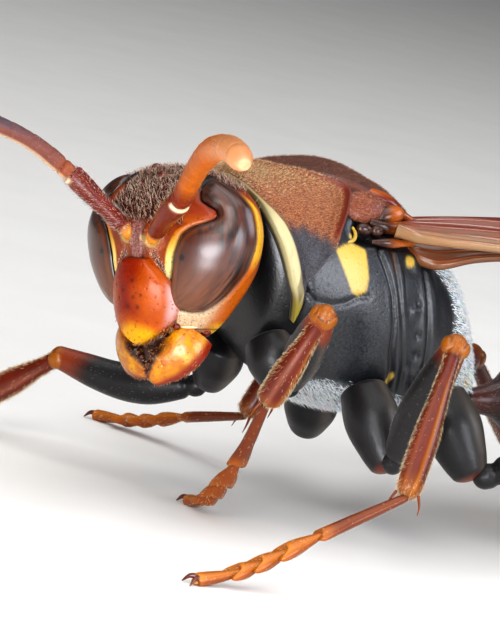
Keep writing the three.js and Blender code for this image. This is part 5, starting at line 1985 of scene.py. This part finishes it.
    def build(self) -> list[Piece]:
        """Make the leg's pieces.

        Returns:
            The objects.
        """
        size = self.sizes.coxa
        radius = ((0, size * 0.8), (0.4, size), (0.75, size * 0.78), (1, size * 0.5))
        coxa = limb(Path([self.root, self.hip]), radius, 48, 52, 0.95, (0, 1, 0))
        coxa.marks["pale"] = 0.35 * bell(coxa.marks["up"] - 0.3, 0.3)
        coxa.marks["rust"] = 0.8 * step(0.93, 1.0, coxa.marks["along"])
        middle = self.foot_path().at(np.array(1.0))
        middle[2] = 0.075
        pad = ball(middle, (0.1, 0.1, 0.065), 14, 18)
        made = []
        for piece, grids, finish, slot, node in (
                ("hip", [coxa], Finish.THIGH, "thigh_shell", "coxa"),
                ("thigh", [self.thigh()], Finish.THIGH, "thigh_shell", "femur"),
                ("shin", self.shin(), Finish.SHIN, "shin_shell", "tibia"),
                ("foot", self.foot(), Finish.FOOT, "foot_shell", "tarsus"),
                ("claws", self.claws(), Finish.CLAW, "foot_shell", ""),
                ("pad", [pad], Finish.PAD, "foot_shell", "")):
            nodes = [f"{node}_{self.name}"] if node else []
            made.append(put(f"{piece}_{self.name}", grids, finish, slot, *nodes))
        return made

    def hairs(self, seed: int) -> tuple[list[Tufts], list[Tufts]]:
        """Grow the leg's hairs: golden bristles on shin and foot, pale down on the thigh.

        Args:
            seed: for the scatter.

        Returns:
            The bristles and the down.
        """
        knee, ankle = np.array(self.knee), np.array(self.ankle)
        shin, path = self.shin()[0], self.foot_path()
        pale = Coat(700, (0.03, 0.06), 0.004, lift=20, joints=1)
        bristle = Coat(1500, (0.05, 0.1), 0.003, lift=38, spread=8)
        toe = Coat(110, (0.035, 0.07), 0.004, lift=30, spread=10)
        edge = unit(np.cross(ankle - knee, np.array([0.88, -0.46, 0.16])))
        along = shin.marks["along"]
        rims = 0.07 + step(0.62, 0.97, np.abs(shin.normals() @ edge)) + step(0.9, 1.0, along)
        golden = [bristle.grow(shin, rims * step(0.04, 0.1, along), ankle - knee, seed)]
        for k, joint in enumerate(self.foot()):
            ahead = path.ahead(np.array(0.5 * (self.shares[k] + self.shares[k + 1])))
            clear = step(0.06, 0.14, joint.points[..., 2])
            golden.append(toe.grow(joint, clear + 1e-6, ahead, seed + 1 + k))
        return golden, [pale.grow(self.thigh(), 1.0, knee - np.array(self.hip), seed + 8)]


LEGS = (
    Leg("fore_left", (1.2, -2.2, 4.3), (2.05, -1.85, 3.2), (4.03, -2.38, 5.39), (3.1, -2.83, 3.1),
        ((2.2, -2.72, 1.6), (1.4, -2.66, 0.74), (0.8, -2.64, 0.28), (0.12, -2.64, 0.1)), thigh_red=0.7),
    Leg("fore_right", (-0.45, -2.3, 3.8), (-1.25, -2.1, 2.5), (-4, -4.6, 2.2), (-5.3, -5.7, 0.8),
        ((-5.9, -6.95, 0.4), (-6.25, -7.8, 0.24), (-6.45, -8.3, 0.2), (-6.6, -8.95, 0.1)), sag=0.4,
        thigh_red=0.72),
    Leg("mid_left", (1.6, 0.25, 3.5), (3, 0.6, 1.9), (5.13, 0.35, 5.31), (7.13, -1.23, 2.3),
        ((7.25, -3.33, 1.2), (7.2, -4.3, 0.6), (7.18, -4.95, 0.3), (7.19, -5.75, 0.1)), thigh_red=0.8),
    Leg("mid_right", (-0.3, 0.15, 3), (-1.1, 0.55, 1.75), (-3.5, 1.5, 4.3), (-3.58, 0.25, 1.4),
        ((-5.5, -0.35, 0.8), (-6.5, -0.8, 0.4), (-7.1, -1.15, 0.24), (-7.87, -1.5, 0.1)), thigh_red=0.8),
    Leg("hind_left", (1.7, 2.15, 3.6), (2.75, 2.95, 1.85), (5, 6.4, 3.9), (6.9, 9.4, 0.95),
        ((7.5, 11.6, 0.5), (7.7, 12.7, 0.26), (7.75, 13.3, 0.2), (7.75, 14.1, 0.1)), thigh_red=0.84),
    Leg("hind_right", (-0.5, 2.15, 3), (-1.1, 2.95, 1.6), (-3.9, 6.2, 3.5), (-5.9, 9.2, 0.9),
        ((-6.6, 11.4, 0.45), (-6.9, 12.5, 0.26), (-7, 13.1, 0.2), (-7.1, 13.9, 0.1)), thigh_red=0.84),
)


# Abdomen and wings


@dataclass
class Gaster:
    """The abdomen: six rings on a spindle, each rear edge standing over the next ring."""

    axis_x: Pairs = ((3.3, 0.44), (6, 0.3), (9, 0.2), (14.6, 0.05))
    axis_z: Pairs = ((3.3, 3.15), (6, 3.45), (8.5, 3.45), (12, 3.05), (14.6, 2.6))
    radius: Pairs = ((3.3, 0.28), (3.9, 0.3), (4.4, 0.42), (5, 0.85), (5.8, 1.5), (6.8, 2.05), (8, 2.34),
                     (9.4, 2.3), (10.8, 1.98), (12.2, 1.44), (13.4, 0.8), (14.2, 0.34), (14.6, 0.06))
    cuts: Sequence[float] = (3.3, 6.5, 8.9, 10.7, 12.2, 13.3, 14.6)
    bands: Sequence[float] = (0.32, 0.3, 0.26, 0.22, 0.18, 0.0)
    step_up: float = 0.07
    tuck: float = 0.35
    skin_rows: int = 76
    fold_rows: int = 11
    columns: int = 100

    def ring(self, index: int) -> Grid:
        """One ring: a lathe on the spindle whose radius grows by the step towards its rear edge.

        Args:
            index: the ring, from 0.

        Returns:
            The grid in the wasp's frame, with marks.
        """
        start, high, wide = self.cuts[index], self.cuts[index + 1], self.bands[index]
        last = index == len(self.bands) - 1
        low = start - (self.tuck if index else 0)
        y = low + (high - low) * np.linspace(0, 1, self.skin_rows)
        if not last:
            y = np.concatenate([y, high - 0.05 - 0.35 * np.linspace(0, 1, self.fold_rows + 1)[1:]])
        out = np.arange(len(y)) < self.skin_rows
        reach = keyed(self.radius, y)
        grown = self.step_up * step(start + 0.1, high, y) * (not last)
        sunk = 0.05 * step(start + 0.12, start - 0.05, y) * (index > 0)
        lip = 0.025 * bell(y - high + 0.05, 0.05) * out * (not last)
        reach = np.maximum(np.where(out, reach - sunk + grown, reach - 0.1) + lip, 0.02)
        turn = loop_angles(self.columns)
        flat = np.where(np.sin(turn) < 0, 0.97, 1.0)
        centre = np.stack([keyed(self.axis_x, y), y, keyed(self.axis_z, y)], axis=-1)
        ring = np.stack([np.cos(turn), np.zeros_like(turn), flat * np.sin(turn)], axis=-1)
        grid = Grid(centre[:, None] + reach[:, None, None] * ring[None])
        back, skin = (high - y)[:, None], out[:, None] * 1.0
        edge = wide + 0.1 * np.cos(2 * turn)[None] + 0.05 * np.cos(6 * turn)[None]
        waist = 0.8 * step(4.9, 3.6, y)[:, None]
        grid.marks = {
            "yellow": step(edge + 0.04, edge - 0.04, back) * skin if wide else 0.0,
            "rust": 0.5 * window(back, wide, wide + 0.28, 0.12) if index else waist,
            "dark": 0.8 * bell(back, 0.03), "skin": skin,
        }
        return grid

    def build(self) -> list[Piece]:
        """Make the abdomen's pieces.

        Returns:
            The objects.
        """
        rings = [self.ring(k) for k in range(len(self.bands))]
        made = [put(f"abdomen_ring_{k + 1}", [ring], Finish.ABDOMEN, "abdomen_shell", f"gaster_{k + 1}")
                for k, ring in enumerate(rings)]
        nap = Coat(3800, (0.05, 0.1), 0.0065, lift=16, spread=6, joints=1)
        skins = [(ring, ring.marks["skin"]) for ring in rings]
        made.append(dress("abdomen_silk", nap, skins, (0, 1, 0), 60, ("3A3230", "A89C90")))
        return made


@dataclass
class Wing:
    """A folded wing: a thin blade along a path, pleated lengthwise, its veins standing proud."""

    name: str
    path: Sequence[Triple]
    chord: Pairs
    outward: Triple
    veins: Sequence[float] = (-0.96, -0.66, -0.3, 0.1, 0.5, 0.86)

    def blade(self) -> Grid:
        """The blade: across place c and face f, the point is chord c down plus thickness f outward.

        Returns:
            The grid in the wasp's frame, with marks.
        """
        path = Path(self.path)
        rows, over = 110, 90
        s = lathe_rows(rows)
        c = np.concatenate([np.linspace(-1, 1, over), np.linspace(1, -1, over)[1:-1]])
        face = np.where(np.arange(len(c)) < over, 1.0, -1.0)
        ahead = path.ahead(s)
        outward = np.array(self.outward, float)
        normal = unit(outward - ahead * (ahead @ outward)[:, None])
        down = np.cross(ahead, normal)
        down = np.where(down[:, 2:] > 0, -down, down)
        tip = np.sqrt(1 - (1 - np.clip((1 - s) / 0.02, 0, 1)) ** 2)[:, None]
        chord = keyed(self.chord, s)[:, None] * tip * step(-0.012, 0.03, s)[:, None]
        fold = 0.05 * np.sin(7 * c)[None] * step(0.0, 0.25, s)[:, None]
        vein = np.max([bell(c - v, 0.035) for v in self.veins], axis=0)[None] * step(0.985, 0.9, s)[:, None]
        shoulder = np.sqrt(np.clip(1 - c ** 2, 0, 1))[None] ** 0.5
        body = keyed(((0, 0.2), (0.08, 0.16), (0.3, 0.1), (1, 0.05)), s)[:, None] * shoulder
        front_edge = 0.05 * bell(c + 0.9, 0.12)[None] * step(1.0, 0.8, s)[:, None]
        rise = face * (body + (0.035 * vein + front_edge) * shoulder) + fold * shoulder
        centre = path.at(s)[:, None]
        grid = Grid(centre + (chord * c)[..., None] * down[:, None] + rise[..., None] * normal[:, None])
        across, fore = c[None], "fore" in self.name
        grid.marks = {
            "rust": step(0.42, 0.18, across) * 0.95 if fore else 0.25 + 0.35 * step(0.0, -0.4, across),
            "vein": 0.4 * vein,
            "pale": (0.2 * bell(across - 0.7, 0.12) + 0.4 * step(0.75, 1.0, across)) * (1 if fore else 0.3),
        }
        return grid

    def build(self) -> list[Piece]:
        """Make the wing's piece.

        Returns:
            The objects.
        """
        return [put(f"folded_{self.name}", [self.blade()], Finish.WING, "wing_membrane", self.name)]


FORE_CHORD = ((0, 0.18), (0.03, 0.3), (0.08, 0.44), (0.3, 0.64), (0.6, 1), (0.8, 1.08), (0.93, 0.78),
              (1, 0.28))
HIND_CHORD = ((0, 0.4), (0.07, 0.8), (0.16, 0.55), (0.26, 0.36), (0.5, 0.5), (0.8, 0.6), (0.92, 0.44),
              (1, 0.2))
WINGS = (
    Wing("forewing_left", ((1.9, 0.1, 7.14), (2.4, 2.5, 7.4), (2.9, 6, 7.42), (3.35, 10, 7.12),
                           (3.6, 14, 6.6), (3.7, 17.2, 6.05)), FORE_CHORD, (0.5, 0, 0.86)),
    Wing("hindwing_left", ((1.2, 0.7, 6.72), (1.65, 2.6, 7.02), (2.1, 5.5, 7.02), (2.5, 8.5, 6.86),
                           (2.75, 11, 6.62)), HIND_CHORD, (0.5, 0, 0.86)),
    Wing("forewing_right", ((-2.74, 0, 5.8), (-2.9, 2.5, 6.3), (-3.1, 6, 6.6), (-3.3, 10, 6.5),
                            (-3.45, 14, 6.1), (-3.5, 17.2, 5.65)), FORE_CHORD, (-0.75, 0, 0.66)),
    Wing("hindwing_right", ((-1.95, 0.6, 5.7), (-2.08, 2.6, 6.26), (-2.28, 5.5, 6.6), (-2.5, 8.5, 6.56),
                            (-2.65, 11, 6.34)), HIND_CHORD, (-0.75, 0, 0.66)),
)
FEELERS = (
    Feeler("left", ((1.34, -5.45, 6.16), (2.01, -5.62, 6.7), (2.69, -5.66, 7.23)),
           ((2.66, -5.655, 7.2), (3.92, -6.11, 7.94), (5.26, -6.61, 8.53), (6.65, -7.07, 8.98),
            (8.04, -7.41, 9.19), (9.28, -7.69, 9.09)), warm=1.0),
    Feeler("right", ((0.72, -5.76, 6.1), (0.4, -6.48, 6.62), (0.08, -7.14, 7.12)),
           ((0.1, -7.06, 7.05), (0.04, -8.1, 7.62), (0.02, -8.98, 7.9), (-0.24, -10.7, 8.18),
            (-0.58, -12.27, 8), (-0.9, -13.53, 7.44)), warm=0.0,
           lash_radius=((0, 0.17), (0.05, 0.2), (0.2, 0.185), (0.6, 0.24), (0.92, 0.235), (1, 0.1))),
)


# Studio


def stand(name: str, data: bpy.types.ID, axes: Sequence[Array], place: Sequence[float]) -> Piece:
    """Stand a lamp or a camera in the scene.

    Args:
        name: its name.
        data: the lamp or camera.
        axes: its right, its up and its back.
        place: where it stands, in mm.

    Returns:
        The object.
    """
    matrix = np.eye(4)
    matrix[:3] = np.stack([*axes, (np.array(place) + BASE_SHIFT) * MM], axis=-1)
    stood = bpy.data.objects.new(name, data)
    stood.matrix_world = Matrix(matrix.tolist())
    bpy.context.scene.collection.objects.link(stood)
    return stood


@dataclass(frozen=True)
class Lamp:
    """An oblong soft light: its place and aim, its width and height in mm, its watts and hex colour."""

    name: str
    place: Triple
    aim: Triple
    size: tuple[float, float]
    watts: float
    colour: str = "FFFFFF"

    def build(self) -> None:
        """Set the light up, facing its aim."""
        lamp = bpy.data.lights.new(self.name, "AREA")
        lamp.shape = "RECTANGLE"
        lamp.size, lamp.size_y = self.size[0] * MM, self.size[1] * MM
        lamp.energy = self.watts
        lamp.color = linear(self.colour)[:3]
        ahead = unit(np.array(self.aim) - np.array(self.place))
        side = unit(np.cross(ahead, np.array([0.001, 0.0, 1.0])))
        stand(self.name, lamp, (side, np.cross(side, ahead), -ahead), self.place)


@dataclass
class Studio:
    """A pale matt floor, large soft lights and the camera at the photograph's angle."""

    floor_half: float = 1.0
    mottle_mm: float = 10 / 3
    target: Triple = (-0.78, -1.66, 4.40)
    distance: float = 90.0
    lens: float = 228.09
    right: Triple = (0.4244, 0.8819, 0.2054)
    up: Triple = (-0.2319, -0.1133, 0.9661)
    back: Triple = (0.8753, -0.4576, 0.1564)
    air: str = "DCE2EA"
    air_strength: float = 0.12

    def floor(self) -> None:
        """A square sheet of pale paper, 2 m wide, with a faint mottle."""
        h = self.floor_half
        mesh = bpy.data.meshes.new("studio_floor")
        mesh.from_pydata([(-h, -h, 0), (h, -h, 0), (h, h, 0), (-h, h, 0)], [], [(0, 1, 2, 3)])
        paper = Shader("studio_paper")
        colour = paper.mix(paper.noise(self.mottle_mm, paper.place(), 3.0), "E6E3DE", "EEECE8")
        mesh.materials.append(paper.surface({"Roughness": 0.9}, {"Base Color": colour}))
        sheet = bpy.data.objects.new("studio_floor", mesh)
        bpy.context.scene.collection.objects.link(sheet)

    def camera(self) -> None:
        """The camera: 90 mm from its target, 44 pixels to the mm there."""
        camera = bpy.data.cameras.new("photo_camera")
        camera.lens = self.lens
        camera.sensor_width = 36.0
        camera.clip_start = 0.001
        camera.clip_end = 10.0
        axes = [np.array(axis) for axis in (self.right, self.up, self.back)]
        place = np.array(self.target) + self.distance * axes[2]
        bpy.context.scene.camera = stand("photo_camera", camera, axes, place)

    def build(self) -> None:
        """Set up floor, lights, surroundings and camera."""
        self.floor()
        for lamp in (
                Lamp("lens_box", (26.5, -21.7, 4.7), (2.4, -4.7, 5.4), (14, 9), 0.0075, "F6F8FF"),
                Lamp("front_box", (85, -75, 75), self.target, (60, 60), 0.072, "FFFDFA"),
                Lamp("flank_box", (75, 20, 24), (1.5, 0.5, 4.6), (34, 44), 0.04, "F4F7FF"),
                Lamp("top_box", (10, -10, 150), (0, 0, 0), (170, 170), 0.175),
                Lamp("rear_box", (30, 95, 60), self.target, (60, 60), 0.05, "EAF1FF")):
            lamp.build()
        world = bpy.data.worlds.new("studio_air")
        world.use_nodes = True
        air = world.node_tree.nodes["Background"]
        air.inputs["Color"].default_value = linear(self.air)
        air.inputs["Strength"].default_value = self.air_strength
        bpy.context.scene.world = world
        bpy.context.scene.view_settings.view_transform = "Standard"
        bpy.context.scene.view_settings.look = "Medium High Contrast"
        self.camera()


def leg_coats() -> list[Piece]:
    """Gather each leg's hairs into a golden coat for shin and foot and a pale one for the thigh.

    Returns:
        The objects.
    """
    made = []
    for k, leg in enumerate(LEGS):
        golden, pale = leg.hairs(LEG_SEED + LEG_SEED_STEP * k)
        for coat, tufts, tones, slot, kind in (
                ("bristles", golden, ("A8703C", "F4DCB4"), "shin_shell", "leg_bristles"),
                ("thigh_down", pale, ("5A5048", "CFC4B8"), "thigh_shell", "thigh_down")):
            made.append(put_coat(f"{coat}_{leg.name}", tufts, tones, kind))
    return made


def main() -> None:
    """Build the studio and each sub-assembly in order, and report every piece."""
    logging.basicConfig(level=logging.INFO, format="%(name)s: %(message)s")
    Studio().build()
    parts = [Head(), Face(), *FEELERS, Collar(), Thorax(), *LEGS, Gaster(), *WINGS]
    for part in parts:
        names = [piece.name for piece in part.build()]
        LOG.info("%s: %s", type(part).__name__, ", ".join(names))
    LOG.info("leg coats: %d", len(leg_coats()))


if __name__ == "__main__":
    main()
